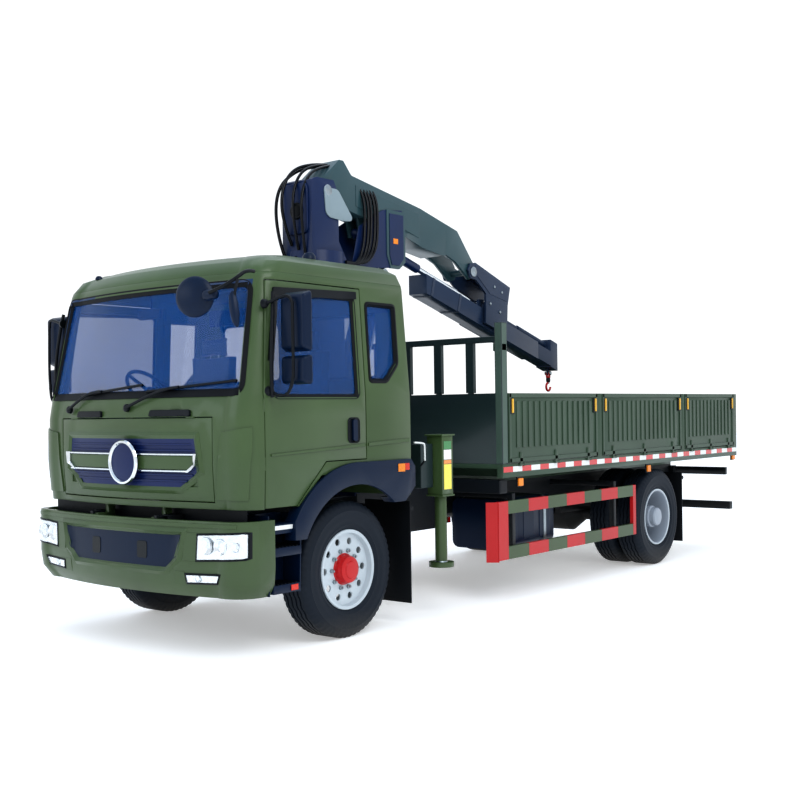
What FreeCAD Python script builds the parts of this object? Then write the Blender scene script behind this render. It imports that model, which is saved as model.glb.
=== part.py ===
import FreeCAD, Part
import math
import os
import re
from FreeCAD import Placement, Rotation, Vector

# A cab-over lorry with a dropside bed and a loader crane behind the cab.
# Millimetres and degrees. +Z up, the front towards -Y, the vehicle's left towards +X.
# The origin is on the ground, half way along the vehicle.

os.makedirs("parts", exist_ok=True)
doc = FreeCAD.newDocument("truck_crane")

# Driving sizes: name, value, what it is
SIZES = [
    ("front_overhang", 1300, "front axle to the bumper's nose"),
    ("wheelbase", 5000, "axle to axle"),
    ("bed_start", 1906, "front axle to the bed's front face"),
    ("bed_length", 5165, "bed with its tailgate"),
    ("tail_reach", 29, "tailgate hinges beyond the bed"),
    ("bed_width", 2480, "over the side gates"),
    ("tyre_radius", 512, "loaded radius"),
    ("tyre_width", 275, "section width"),
    ("rim_radius", 290, "bead seat"),
    ("rim_width", 230, "over the flanges"),
    ("front_wheel_out", 982, "middle of the front tyre from the centreline"),
    ("rear_wheel_out", 1073, "middle of the outer rear tyre from the centreline"),
    ("twin_spacing", 310, "between the middles of twin tyres"),
    ("hub_radius", 95, "wheel hub"),
    ("kingpin_out", 830, "steering axis from the centreline"),
    ("kingpin_radius", 24, "steering pin"),
    ("pin_play", 0.05, "radial play of a pin in its bore"),
    ("rail_out", 430, "outer face of a frame rail from the centreline"),
    ("rail_flange", 80, "frame rail flange"),
    ("rail_wall", 8, "frame rail wall"),
    ("rail_low", 730, "frame rail underside"),
    ("rail_depth", 250, "frame rail depth"),
    ("deck_low", 1095, "underside of the bed's edge rail"),
    ("deck_top", 1215, "bed floor"),
    ("floor_rise", 3, "floor boards above the bed's edge"),
    ("gate_top", 1834, "top of the side gates"),
    ("gate_wall", 46, "side gate thickness"),
    ("gate_gap", 8, "round each gate"),
    ("hinge_out", 12, "gate hinge axis beyond the gate's outer face"),
    ("hinge_drop", 12, "gate hinge axis below the bed floor"),
    ("hinge_pin", 7, "gate hinge pin's radius"),
    ("cab_pivot_ahead", 1200, "front axle to the cab's tilt axis"),
    ("cab_pivot_up", 932, "cab's tilt axis above the ground"),
    ("post_length", 90, "stake post along the bed"),
    ("mid_post_front", 3650, "front axle to the first stake post"),
    ("mid_post_rear", 5560, "front axle to the second stake post"),
    ("rack_top", 2330, "top rail of the rack behind the crane"),
    ("rack_post_top", 2450, "rack's corner posts"),
    ("cab_rear", 666, "front axle to the cab's rear wall"),
    ("cab_low", 1034, "cab's lower edge"),
    ("cab_wall", 50, "thickness of cab walls and doors"),
    ("glass_wall", 6, "window glass"),
    ("door_front", 946, "front axle forward to the door's front edge"),
    ("door_rear", 120, "front axle back to the door's rear edge"),
    ("door_gap", 7, "round each door"),
    ("floor_low", 1245, "cab floor underside"),
    ("floor_wall", 45, "cab floor thickness"),
    ("flap_top", 1666, "front flap's top line"),
    ("flap_low", 1085, "front flap's lower line"),
    ("flap_half", 850, "front flap's half width"),
    ("grille_half", 720, "grille's half width"),
    ("grille_low", 1185, "grille's lower edge"),
    ("grille_top", 1515, "grille's upper edge"),
    ("grille_depth", 14, "depth of the grille and the bumper's pocket"),
    ("flare_radius", 805, "arch flare's outer edge from the wheel's middle"),
    ("flare_mouth", 640, "arch flare's inner edge from the wheel's middle"),
    ("bumper_low", 431, "bumper underside"),
    ("bumper_top", 960, "bumper top"),
    ("bumper_lead", 91, "bumper ahead of the cab's front"),
    ("bumper_wall", 40, "bumper skin"),
    ("crane_out", -150, "crane column's axis from the centreline"),
    ("crane_back", 1060, "front axle to the crane column's axis"),
    ("column_radius", 250, "crane column"),
    ("turntable_top", 1500, "where the column starts to turn"),
    ("boom_half", 140, "inner boom's half width"),
    ("outer_half", 110, "outer boom's half width"),
    ("boom_wall", 8, "outer boom's plate"),
    ("slide_play", 5, "between telescoping boxes"),
    ("pad_play", 0.3, "between a slide pad and what it guides"),
    ("jack_back", 1190, "front axle to the stabiliser beams"),
    ("jack_out", 1090, "stabiliser leg from the centreline"),
    ("jack_width", 150, "stabiliser leg's outer tube"),
    ("jack_foot_low", 400, "stabiliser foot above the ground, stowed"),
    ("guard_out", 1200, "side guard's outer face"),
    ("guard_length", 2570, "side guard along the bed"),
    ("guard_low", 374, "side guard's underside"),
    ("guard_top", 884, "side guard's top"),
    ("seat_out", 520, "seats from the centreline"),
    ("mirror_out", 1380, "door mirrors from the centreline"),
]
# Places worked out from the sizes: name, formula
PLACES = [
    ("half_length", "(front_overhang + bed_start + bed_length + tail_reach) / 2"),
    ("front_axle", "front_overhang - half_length"),
    ("rear_axle", "front_axle + wheelbase"),
    ("bed_front", "front_axle + bed_start"),
    ("bed_rear", "bed_front + bed_length"),
    ("bed_half", "bed_width / 2"),
    ("rail_top", "rail_low + rail_depth"),
    ("crane_at", "front_axle + crane_back"),
    ("jack_at", "front_axle + jack_back"),
    ("cab_back", "front_axle + cab_rear"),
    ("twin_inner_out", "rear_wheel_out - twin_spacing"),
    ("gate_low", "deck_top + gate_gap"),
    ("floor_top", "floor_low + floor_wall"),
    ("post_one", "front_axle + mid_post_front"),
    ("post_two", "front_axle + mid_post_rear"),
]

sizes = doc.addObject("Spreadsheet::Sheet", "sizes")
for row, (name, value, note) in enumerate(SIZES, start=1):
    sizes.set(f"A{row}", name)
    sizes.set(f"B{row}", str(value))
    sizes.set(f"C{row}", note)
    sizes.setAlias(f"B{row}", name)
doc.recompute()

places = doc.addObject("Spreadsheet::Sheet", "places")
size_names = {name for name, value, note in SIZES}
place_names = {name for name, formula in PLACES}


def bound(text, inside_places=False):
    """The formula with each size and place written as FreeCAD's expressions name it."""

    def full(match):
        word = match.group(0)
        if word in size_names:
            return "sizes." + word
        if word in place_names and not inside_places:
            return "places." + word
        return word

    return re.sub(r"[a-z_]+", full, text)


for row, (name, formula) in enumerate(PLACES, start=1):
    places.set(f"A{row}", name)
    places.set(f"B{row}", "=" + bound(formula, inside_places=True))
    places.setAlias(f"B{row}", name)
doc.recompute()


class Values:
    """The sheets' values by name, for shapes that code works out."""


at = Values()
for name, value, note in SIZES:
    setattr(at, name, float(sizes.get(name)))
for name, formula in PLACES:
    setattr(at, name, float(places.get(name)))

nodes = []


def node(name, shape_object):
    """Names an object as one of the finished pieces."""
    shape_object.Label = name
    nodes.append(shape_object)
    return shape_object


def box(x_low, x_high, y_low, y_high, z_low, z_high, name="block"):
    """A block between two places on each axis."""
    block = doc.addObject("Part::Box", name)
    block.setExpression("Length", bound(f"({x_high}) - ({x_low})"))
    block.setExpression("Width", bound(f"({y_high}) - ({y_low})"))
    block.setExpression("Height", bound(f"({z_high}) - ({z_low})"))
    block.setExpression("Placement.Base.x", bound(x_low))
    block.setExpression("Placement.Base.y", bound(y_low))
    block.setExpression("Placement.Base.z", bound(z_low))
    return block


TURNS = {
    "X": Rotation(Vector(0, 1, 0), 90),
    "Y": Rotation(Vector(1, 0, 0), -90),
    "Z": Rotation(),
}


def rod(axis, x, y, z, radius, length, name="round"):
    """A round bar that starts at a place and runs along +axis."""
    bar = doc.addObject("Part::Cylinder", name)
    bar.Placement = Placement(Vector(), TURNS[axis])
    bar.setExpression("Radius", bound(radius))
    bar.setExpression("Height", bound(length))
    bar.setExpression("Placement.Base.x", bound(x))
    bar.setExpression("Placement.Base.y", bound(y))
    bar.setExpression("Placement.Base.z", bound(z))
    return bar


def fuse(parts, name="joined"):
    """Pieces welded into one."""
    joined = doc.addObject("Part::MultiFuse", name)
    joined.Shapes = parts
    joined.Refine = True
    return joined


def group(parts, name="set"):
    """Like pieces that share a node without touching."""
    together = doc.addObject("Part::Compound", name)
    together.Links = parts
    return together


def cut(base, tool, name="cut"):
    """base with tool taken away."""
    rest = doc.addObject("Part::Cut", name)
    rest.Base = base
    rest.Tool = tool
    return rest


def common(base, tool, name="shared"):
    """What base and tool share."""
    both = doc.addObject("Part::Common", name)
    both.Base = base
    both.Tool = tool
    return both


def mirror(source, name="mirrored"):
    """The same piece on the other side of the vehicle."""
    other = doc.addObject("Part::Mirroring", name)
    other.Source = source
    other.Base = Vector()
    other.Normal = Vector(1, 0, 0)
    return other


def feature(shape, name="shape"):
    """A shape that Part's own functions made."""
    made = doc.addObject("Part::Feature", name)
    made.Shape = shape
    return made


def plate(outline, x_low, x_high, name="plate"):
    """A plate cut to an outline of (y, z) points and standing across the vehicle."""
    wire = Part.makePolygon([Vector(x_low, y, z) for y, z in outline + outline[:1]])
    return feature(Part.Face(wire).extrude(Vector(x_high - x_low, 0, 0)), name)


def turned(profile, middle, name="turned"):
    """A ring or disc turned about an axle: profile holds (across, radius) points from its middle."""
    wire = Part.makePolygon([Vector(across, 0, radius) for across, radius in profile + profile[:1]])
    shape = Part.Face(wire).revolve(Vector(), Vector(1, 0, 0), 360)
    made = feature(shape, name)
    made.Placement = Placement(middle, Rotation())
    return made


def strut(start, end, radius, name="strut"):
    """A round bar from one point to another."""
    run = end - start
    bar = doc.addObject("Part::Cylinder", name)
    bar.Radius = radius
    bar.Height = run.Length
    bar.Placement = Placement(start, Rotation(Vector(0, 0, 1), run))
    return bar


# Chassis: two channel rails, cross members and the spring hangers
def chassis_frame():
    rails = []
    for side in (1, -1):
        web_out = "rail_out" if side == 1 else "-rail_out + rail_wall"
        web_in = "rail_out - rail_wall" if side == 1 else "-rail_out"
        far = "rail_out" if side == 1 else "-rail_out + rail_flange"
        near = "rail_out - rail_flange" if side == 1 else "-rail_out"
        span = ("front_axle - front_overhang + bumper_wall + 90.3", "bed_rear - 90")
        rails.append(box(web_in, web_out, *span, "rail_low", "rail_top"))
        rails.append(box(near, far, *span, "rail_low", "rail_low + rail_wall"))
        rails.append(box(near, far, *span, "rail_top - rail_wall", "rail_top"))
    # cross members: front face, length, underside, height
    for y_low, length, low, high in (
        ("front_axle - 1150", 90, 740, 140),
        ("front_axle + 1320", 80, 860, 112),
        ("front_axle + 2700", 80, 750, 200),
        ("rear_axle - 800", 80, 750, 200),
        ("rear_axle + 800", 80, 750, 200),
        ("bed_rear - 191", 90, 738, 234),
    ):
        rails.append(box("-rail_out + rail_wall", "rail_out - rail_wall", y_low, f"{y_low} + {length}",
                         f"{low}", f"{low + high}"))
    # bearings of the cab's tilt axis, and the bridge that its floor rests on
    for side in (1, -1):
        low, high = "rail_out - rail_flange", "rail_out - 50"
        if side == -1:
            low, high = "50 - rail_out", "rail_flange - rail_out"
        rails.append(box(low, high, "front_axle - cab_pivot_ahead - 34", "front_axle - 1050",
                         "cab_pivot_up - 18", "rail_top - 1"))
        rails.append(box(low, high, "front_axle + 540", "front_axle + 610", "rail_top", "floor_low - 70"))
    rails.append(box("50 - rail_out", "rail_out - 50", "front_axle + 540", "front_axle + 610",
                     "floor_low - 75", "floor_low - 0.3"))
    bores = rod("X", "-rail_out", "front_axle - cab_pivot_ahead", "cab_pivot_up", "15 + pin_play",
                "2 * rail_out")
    return node("chassis_frame", cut(fuse(rails), bores))


# Springs: side members of both axles, one leaf pack and two hangers a side
def leaf_springs(axle, reach, pack_low, pack_high):
    pieces = []
    for side in (1, -1):
        low, high = ("rail_out - 75", "rail_out - 5") if side == 1 else ("5 - rail_out", "75 - rail_out")
        pieces.append(box(low, high, f"{axle} - {reach}", f"{axle} + {reach}", f"{pack_low}", f"{pack_high}"))
        for end in (-1, 1):
            middle = f"{axle} + {end * (reach - 40)}"
            pieces.append(box(low, high, f"{middle} - 40", f"{middle} + 40", f"{pack_high}", "rail_low"))
    return pieces


def front_axle_beam():
    beam = [box("-kingpin_out - 5", "kingpin_out + 5", "front_axle - 45", "front_axle + 45", "450", "545")]
    for side in (1, -1):
        x = f"{side} * kingpin_out"
        beam.append(rod("Z", x, "front_axle", "430", "52", "150"))
    beam += leaf_springs("front_axle", 700, 545, 610)
    whole = fuse(beam)
    bores = fuse([rod("Z", f"{side} * kingpin_out", "front_axle", "400", "kingpin_radius + pin_play", "220")
                  for side in (1, -1)])
    return node("front_axle", cut(whole, bores))


def rear_axle_beam():
    end = at.twin_inner_out + 165
    profile = [(-end, 0), (-end, 50), (20 - at.twin_inner_out, 50), (20 - at.twin_inner_out, 72), (-330, 72),
               (-170, 195), (170, 195), (330, 72), (at.twin_inner_out - 20, 72), (at.twin_inner_out - 20, 50),
               (end, 50), (end, 0)]
    housing = turned(profile, Vector(0, at.rear_axle, at.tyre_radius), "housing")
    return node("rear_axle", fuse([housing] + leaf_springs("rear_axle", 720, 570, 650)))


# Engine and gearbox as plain masses, with the shaft to the rear axle
def engine_and_shaft():
    engine = box("-320", "320", "front_axle - 600", "front_axle + 480", "620", "1190")
    gearbox = box("-180", "180", "front_axle + 480", "front_axle + 1120", "640", "960")
    shaft_start = Vector(0, at.front_axle + 1110, 800)
    shaft_end = Vector(0, at.rear_axle - 210, at.tyre_radius + 30)
    shaft = strut(shaft_start, shaft_end, 45, "shaft")
    mounts = []
    for low, high in (("310", "rail_out - rail_wall - 0.3"), ("0.3 + rail_wall - rail_out", "-310")):
        for y in ("front_axle - 420", "front_axle + 300"):
            mounts.append(box(low, high, y, f"{y} + 90", "760", "820"))
    return node("engine_and_shaft", fuse([engine, gearbox, shaft] + mounts))


def fuel_tank():
    body = box("520", "1060", "front_axle + 2150", "front_axle + 3050", "430", "880", "tank_block")
    rounded = doc.addObject("Part::Fillet", "tank_rounded")
    rounded.Base = body
    doc.recompute()
    long_edges = []
    for number, edge in enumerate(body.Shape.Edges, start=1):
        if abs(edge.tangentAt(edge.FirstParameter).y) > 0.9:
            long_edges.append((number, 70.0, 70.0))
    rounded.Edges = long_edges
    straps = [rounded]
    for offset in (180, 660):
        y = f"front_axle + 2150 + {offset}"
        straps.append(box("rail_out", "560", y, f"{y} + 60", "860", "930"))
    return node("fuel_tank", fuse(straps))


def right_side_units():
    battery = box("-1050", "-560", "front_axle + 2150", "front_axle + 2750", "480", "860")
    arms = [box("-600", "-rail_out", f"front_axle + {y}", f"front_axle + {y + 60}", "840", "900")
            for y in (2240, 2640)]
    tanks = []
    for x in (-640, -900):
        tanks.append(rod("Y", f"{x}", "front_axle + 2900", "640", "115", "820"))
    tanks.append(box("-960", "-rail_out", "front_axle + 3260", "front_axle + 3320", "730", "790"))
    return node("battery_and_air_tanks", group([fuse([battery] + arms), fuse(tanks)]))


# Plan outline of the cab's skin and the bumper, in lines and arcs
BOW_DEPTH = 99
CORNER_ACROSS = 240
CORNER_BACK = 180


def plan_wire(half, front, back, z, inset):
    """The cab's outline seen from above at height z: a bowed front, two round corners, straight sides."""
    nose = front + inset
    side = half - inset
    start_x = half - CORNER_ACROSS - inset * 0.4
    start_y = nose + BOW_DEPTH
    end_y = start_y + CORNER_BACK
    rear = back - inset
    corner = Vector(0.25 * start_x + 0.75 * side - 6, 0.7 * start_y + 0.3 * end_y - 8, z)
    far = Vector(-corner.x, corner.y, z)
    front_arc = Part.Arc(Vector(-start_x, start_y, z), Vector(0, nose, z), Vector(start_x, start_y, z))
    left_arc = Part.Arc(Vector(start_x, start_y, z), corner, Vector(side, end_y, z))
    right_arc = Part.Arc(Vector(-side, end_y, z), far, Vector(-start_x, start_y, z))
    edges = [front_arc.toShape(), left_arc.toShape()]
    points = [Vector(side, end_y, z), Vector(side, rear, z), Vector(-side, rear, z), Vector(-side, end_y, z)]
    for first, second in zip(points, points[1:]):
        edges.append(Part.LineSegment(first, second).toShape())
    edges.append(right_arc.toShape())
    return Part.Wire(edges)


def loft(sections, inset):
    """A solid through sections of (height, half width, front, back)."""
    wires = [plan_wire(half, front, back, z, inset) for z, half, front, back in sections]
    return Part.makeLoft(wires, True, True)


fa = at.front_axle
# Cab skin: height, half width, front, back
CAB = [
    (at.cab_low, 1183, fa - 1190, at.cab_back),
    (1353, 1190, fa - 1209, at.cab_back),
    (at.flap_top, 1190, fa - 1205, at.cab_back),
    (1815, 1188, fa - 1178, at.cab_back),
    (2637, 1136, fa - 1012, at.cab_back - 20),
    (2672, 1130, fa - 1000, at.cab_back - 22),
]
ROOF = [
    (2672, 1132, fa - 998, at.cab_back - 22),
    (2760, 1100, fa - 930, at.cab_back - 45),
    (2815, 1010, fa - 800, at.cab_back - 110),
    (2845, 800, fa - 560, at.cab_back - 260),
]


def prism(outline, low, high, axis):
    """A block through the cab to an outline: (y, z) points along X, or (x, z) points along Y."""
    if axis == "X":
        points = [Vector(low, u, v) for u, v in outline]
        run = Vector(high - low, 0, 0)
    else:
        points = [Vector(u, low, v) for u, v in outline]
        run = Vector(0, high - low, 0)
    return Part.Face(Part.makePolygon(points + points[:1])).extrude(run)


def flipped(shape):
    """The shape on the other side of the vehicle."""
    return shape.mirror(Vector(), Vector(1, 0, 0))


def grown(outline, distance):
    """The outline moved outwards by distance, corners kept sharp."""
    count = len(outline)
    area = sum(outline[i][0] * outline[(i + 1) % count][1] - outline[(i + 1) % count][0] * outline[i][1]
               for i in range(count))
    turn = 1 if area > 0 else -1
    moved = []
    for i in range(count):
        before, here, after = outline[i - 1], outline[i], outline[(i + 1) % count]
        into = Vector(here[0] - before[0], here[1] - before[1], 0).normalize()
        out = Vector(after[0] - here[0], after[1] - here[1], 0).normalize()
        normal_in = Vector(into.y, -into.x, 0) * turn
        normal_out = Vector(out.y, -out.x, 0) * turn
        middle = normal_in + normal_out
        scale = distance * 2 / middle.dot(middle)
        moved.append((here[0] + middle.x * scale, here[1] + middle.y * scale))
    return moved


door_y_front = fa - at.door_front
door_y_rear = fa + at.door_rear
ARCH_TOP = 1240
# Door outline in (y, z): front edge, top, rear edge, then round the wheel arch
DOOR = [
    (door_y_front, at.cab_low + 6), (door_y_front, 1830), (door_y_front + 105, 2610), (door_y_rear, 2610),
    (door_y_rear, 1340), (fa - 330, 1340), (fa - 640, at.cab_low + 6),
]
DOOR_WINDOW = [
    (door_y_front + 75, 1870), (door_y_front + 165, 2540), (door_y_rear - 75, 2540), (door_y_rear - 75, 1800),
    (door_y_front + 110, 1800),
]
QUARTER_WINDOW = [
    (door_y_rear + 75, 1930), (door_y_rear + 75, 2500), (door_y_rear + 400, 2500), (door_y_rear + 400, 2070),
    (door_y_rear + 260, 1930),
]
SCREEN = [(-1060, 1815), (-1010, 2600), (1010, 2600), (1060, 1815)]
REAR_WINDOW = [(-900, 1950), (-900, 2480), (-180, 2480), (-180, 1950)]
FLAP = [(-at.flap_half, at.flap_low), (-at.flap_half, at.flap_top), (at.flap_half, at.flap_top),
        (at.flap_half, at.flap_low)]
ARCH = [(fa - 620, 980), (fa - 620, at.cab_low), (fa - 380, ARCH_TOP), (fa + 430, ARCH_TOP),
        (fa + 620, at.cab_low), (fa + 620, 980)]


def cab_pieces():
    """The cab's skin, cut into the panels, doors and windows that the real cab has."""
    outer = loft(CAB, 0)
    skin = outer.cut(loft(CAB, at.cab_wall))
    low, high = outer.BoundBox.ZMin, outer.BoundBox.ZMax
    side_limits = (at.front_wheel_out, 1300)
    door_block = prism(DOOR, *side_limits, "X")
    opening = prism(grown(DOOR, at.door_gap), *side_limits, "X")
    window = prism(DOOR_WINDOW, *side_limits, "X")
    quarter = prism(QUARTER_WINDOW, *side_limits, "X")
    arch = prism(ARCH, *side_limits, "X")
    rear = prism(REAR_WINDOW, at.cab_back - 120, at.cab_back + 20, "Y")
    screen = prism(SCREEN, fa - 1300, fa - 880, "Y")
    flap_block = prism(FLAP, fa - 1300, fa - 1000, "Y")
    flap_opening = prism(grown(FLAP, at.door_gap), fa - 1300, fa - 1000, "Y")
    shell = skin
    for tool in (opening, quarter, arch, flipped(opening), flipped(quarter), flipped(arch), rear,
                 flipped(rear), screen, flap_opening):
        shell = shell.cut(tool)
    floor_sections = [(z, 1190, fa - 1209, at.cab_back) for z in (at.floor_low, at.floor_top)]
    floor_block = loft(floor_sections, at.cab_wall + 9)
    tunnel_outer = Part.makeBox(700, 1440, 250, Vector(-350, fa - 800, at.floor_top))
    tunnel_inner = Part.makeBox(660, 1400, 260, Vector(-330, fa - 780, at.floor_low - 30))
    floor = floor_block.fuse(tunnel_outer).cut(tunnel_inner)
    rim_of_floor = loft(floor_sections, at.cab_wall - 4).cut(floor_block)
    shut = prism(grown(DOOR, at.door_gap), -1300, 1300, "X")
    shell = shell.fuse(floor).fuse(rim_of_floor.cut(shut).cut(flap_opening))
    leaf = at.door_gap - 0.3
    for z in (1300, 1700):
        for x in (1130, -1185):
            shell = shell.fuse(Part.makeBox(55, leaf + 4, 90, Vector(x, door_y_front - at.door_gap - 4, z)))
    for x in (-700, -40, 620):
        shell = shell.fuse(Part.makeBox(80, 30, leaf + 4, Vector(x, fa - 1160, at.flap_top + 0.3)))
    pivot = Vector(0, fa - at.cab_pivot_ahead, at.cab_pivot_up)
    for x, inward in ((at.rail_out - at.rail_flange - 45, 1), (at.rail_flange - at.rail_out + 5, -1)):
        arm = Part.makeBox(40, 60, at.floor_low - 900, Vector(x, fa - 1120, 905))
        foot = Part.makeBox(40, 162, 60, Vector(x, fa - 1222, 905))
        pin_start = x if inward == 1 else x - 70
        pin = Part.makeCylinder(15, 110, Vector(pin_start, pivot.y, pivot.z), Vector(1, 0, 0))
        shell = shell.fuse(arm).fuse(foot).fuse(pin)
    node("cab_shell", feature(shell.removeSplitter(), "cab_shell"))

    roof = loft(ROOF, 0).cut(loft([(2600, 1132, fa - 998, at.cab_back - 22)] + ROOF[:2] +
                                  [(2790, 1010, fa - 800, at.cab_back - 110)], 40))
    node("cab_roof", feature(roof, "cab_roof"))

    glass_skin = loft(CAB, 20).cut(loft(CAB, 20 + at.glass_wall))
    fit = 0.3
    door = skin.common(door_block).cut(window)
    node("door_left", feature(door, "door_left"))
    node("door_right", mirror(doc.getObject("door_left")))
    door_glass = glass_skin.common(prism(grown(DOOR_WINDOW, -fit), *side_limits, "X"))
    node("door_glass_left", feature(door_glass, "door_glass_left"))
    node("door_glass_right", mirror(doc.getObject("door_glass_left")))
    panes = [glass_skin.common(prism(grown(SCREEN, -fit), fa - 1300, fa - 880, "Y")),
             glass_skin.common(prism(grown(QUARTER_WINDOW, -fit), *side_limits, "X")),
             glass_skin.common(prism(grown(REAR_WINDOW, -fit), at.cab_back - 120, at.cab_back + 20, "Y"))]
    panes += [flipped(pane) for pane in panes[1:]]
    node("cab_windows", feature(Part.makeCompound(panes), "cab_windows"))
    grille = prism([(-at.grille_half, at.grille_low), (at.grille_half, at.grille_low),
                    (at.grille_half - 20, at.grille_top), (20 - at.grille_half, at.grille_top)],
                   fa - 1300, fa - 1000, "Y")
    flap = skin.common(flap_block).cut(grille.cut(loft(CAB, at.grille_depth)))
    node("front_flap", feature(flap, "front_flap"))


def bumper_and_lamps():
    """The bumper's bowed skin with a headlamp and a fog lamp let in at each end."""
    nose = fa - at.front_overhang
    back = fa - 880
    sections = [(at.bumper_low, 1140, nose + 60, back + 300), (520, 1190, nose + 12, back + 300),
                (640, 1200, nose, back + 300), (at.bumper_top, 1200, nose + 6, back + 300)]
    outer = loft(sections, 0)
    keep = Part.makeBox(2600, back - nose + 20, 800, Vector(-1300, nose - 20, 300))
    skin = outer.cut(loft([(at.bumper_low - 10,) + sections[0][1:]] + sections[1:3] +
                          [(at.bumper_top + 10,) + sections[3][1:]], at.bumper_wall)).common(keep)
    head = [(690, 700), (1180, 715), (1180, 885), (690, 865)]
    fog = [(610, 525), (960, 535), (960, 605), (610, 595)]
    lamps = []
    for outline in (head, fog):
        block = prism(outline, nose - 20, fa - 950, "Y")
        lens = skin.common(prism(grown(outline, -0.3), nose - 20, fa - 950, "Y"))
        for tool, lamp in ((block, lens), (flipped(block), flipped(lens))):
            skin = skin.cut(tool)
            lamps.append(lamp)
    pocket = prism([(-560, 620), (560, 620), (650, 865), (-650, 865)], nose - 20, fa - 950, "Y")
    skin = skin.cut(pocket.cut(loft(sections, at.grille_depth)))
    beam = Part.makeBox(2 * at.rail_out, 90, 125, Vector(-at.rail_out, nose + at.bumper_wall - 2, 760))
    arms = [Part.makeBox(60, 110, 100, Vector(x, nose + at.bumper_wall, 770)) for x in (-400, 340)]
    for arm in arms:
        skin = skin.fuse(arm)
    node("bumper", feature(skin.fuse(beam).removeSplitter(), "bumper"))
    node("front_lamps", feature(Part.makeCompound(lamps), "front_lamps"))


def steps():
    """Two treads a side ahead of the front wheels, on a box held by the frame."""
    left = fuse([
        box("940", "1170", "front_axle - 870", "front_axle - 600", "440", "500"),
        box("940", "1185", "front_axle - 870", "front_axle - 600", "700", "760"),
        box("940", "1000", "front_axle - 870", "front_axle - 600", "440", "990"),
        box("rail_out", "960", "front_axle - 760", "front_axle - 700", "800", "860"),
    ])
    return node("steps", group([left, mirror(left)]))


def mudflaps():
    """Rubber flaps behind each wheel, hung from stays on the frame."""
    pieces = []
    for y, low, high, inner, outer in (("front_axle + 680", 170, 980, 700, 1160),
                                       ("rear_axle + 600", 190, 960, 640, 1200)):
        flap = box(f"{inner}", f"{outer}", y, f"{y} + 12", f"{low}", f"{high}")
        stay = rod("X", "rail_out", f"{y} + 30", f"{high} - 60", "20", f"{outer} - rail_out")
        side = fuse([flap, stay])
        pieces += [side, mirror(side)]
    return node("mudflaps", group(pieces))


def arch_flares():
    """Flares round the cab's wheel arches: a round mouth, a round front and a level top."""
    middle = Vector(1105, fa, at.tyre_radius)
    along_axle = Vector(1, 0, 0)
    outer = Part.makeCylinder(at.flare_radius, 110, middle, along_axle)
    mouth = Part.makeCylinder(at.flare_mouth, 110, middle, along_axle)
    front = outer.common(Part.makeBox(110, 690, 600, Vector(1105, fa - 690, 800)))
    top = at.tyre_radius + at.flare_radius
    rear = prism([(fa - 1, 990), (fa - 1, top), (fa + 640, top), (fa + 690, top - 60), (fa + 690, 1100),
                  (fa + 560, 990)], 1105, 1215, "X")
    flare = front.fuse(rear).cut(mouth).cut(loft(CAB, -0.3)).removeSplitter()
    left = feature(flare, "flare_left")
    return node("arch_flares", group([left, mirror(left)]))


def seats():
    pieces = []
    for side in (1, -1):
        x = f"{side} * seat_out"
        pieces.append(fuse([
            box(f"{x} - 240", f"{x} + 240", "front_axle - 330", "front_axle + 110", "1560", "1700"),
            box(f"{x} - 235", f"{x} + 235", "front_axle + 100", "front_axle + 240", "1580", "2330"),
            box(f"{x} - 150", f"{x} + 150", "front_axle - 300", "front_axle + 90", "floor_top + 0.3", "1560"),
        ]))
    return node("seats", group(pieces))


def dashboard():
    body = box("-1090", "1090", "front_axle - 1020", "front_axle - 700", "1560", "1830")
    hood = box("-seat_out - 230", "-seat_out + 230", "front_axle - 760", "front_axle - 600", "1700", "1880")
    foot = box("-1090", "1090", "front_axle - 1000", "front_axle - 900", "floor_top", "1560")
    column = strut(Vector(-at.seat_out, fa - 800, 1620), Vector(-at.seat_out, fa - 540, 1855), 28)
    room = feature(loft(CAB, at.cab_wall + 0.3), "cab_room")
    return node("dashboard", common(fuse([body, hood, foot, column]), room))


def steering_wheel():
    """The wheel's middle and its lean are shared with its joint."""
    ring = doc.addObject("Part::Torus", "wheel_ring")
    ring.Radius1 = 225
    ring.Radius2 = 15
    spokes = []
    for turn in (0, 120, 240):
        spoke = doc.addObject("Part::Box", "spoke")
        spoke.Length = 215
        spoke.Width = 34
        spoke.Height = 14
        turned_by = Placement(Vector(), Rotation(Vector(0, 0, 1), turn))
        spoke.Placement = turned_by * Placement(Vector(8, -17, -7), Rotation())
        spokes.append(spoke)
    hub = doc.addObject("Part::Cylinder", "wheel_hub")
    hub.Radius = 48
    hub.Height = 40
    hub.Placement = Placement(Vector(0, 0, -20), Rotation())
    whole = fuse([ring, hub] + spokes)
    lean = Rotation(Vector(0, 0, 1), Vector(0, 260, 235))
    whole.Placement = Placement(Vector(-at.seat_out, fa - 540, 1855) + lean.multVec(Vector(0, 0, 20.3)), lean)
    return node("steering_wheel", whole)


def mirrors():
    """Two door mirrors a side on a bracket that turns with the door."""
    y = "front_axle - 840"
    arms = [
        box("1100", "mirror_out", "front_axle - 900", "front_axle - 870", "1950", "1980"),
        box("1100", "mirror_out", "front_axle - 850", "front_axle - 820", "2420", "2450"),
        box("mirror_out - 15", "mirror_out + 15", "front_axle - 900", "front_axle - 820", "1950", "2450"),
    ]
    glasses = [box("mirror_out - 100", "mirror_out + 100", y, f"{y} + 75", "2100", "2520"),
               box("mirror_out - 100", "mirror_out + 100", y, f"{y} + 75", "1880", "2085")]
    left = fuse(arms + glasses)
    trimmed = cut(left, feature(loft(CAB, -0.3), "cab_block"))
    node("mirrors_left", trimmed)
    return node("mirrors_right", mirror(trimmed))


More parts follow.
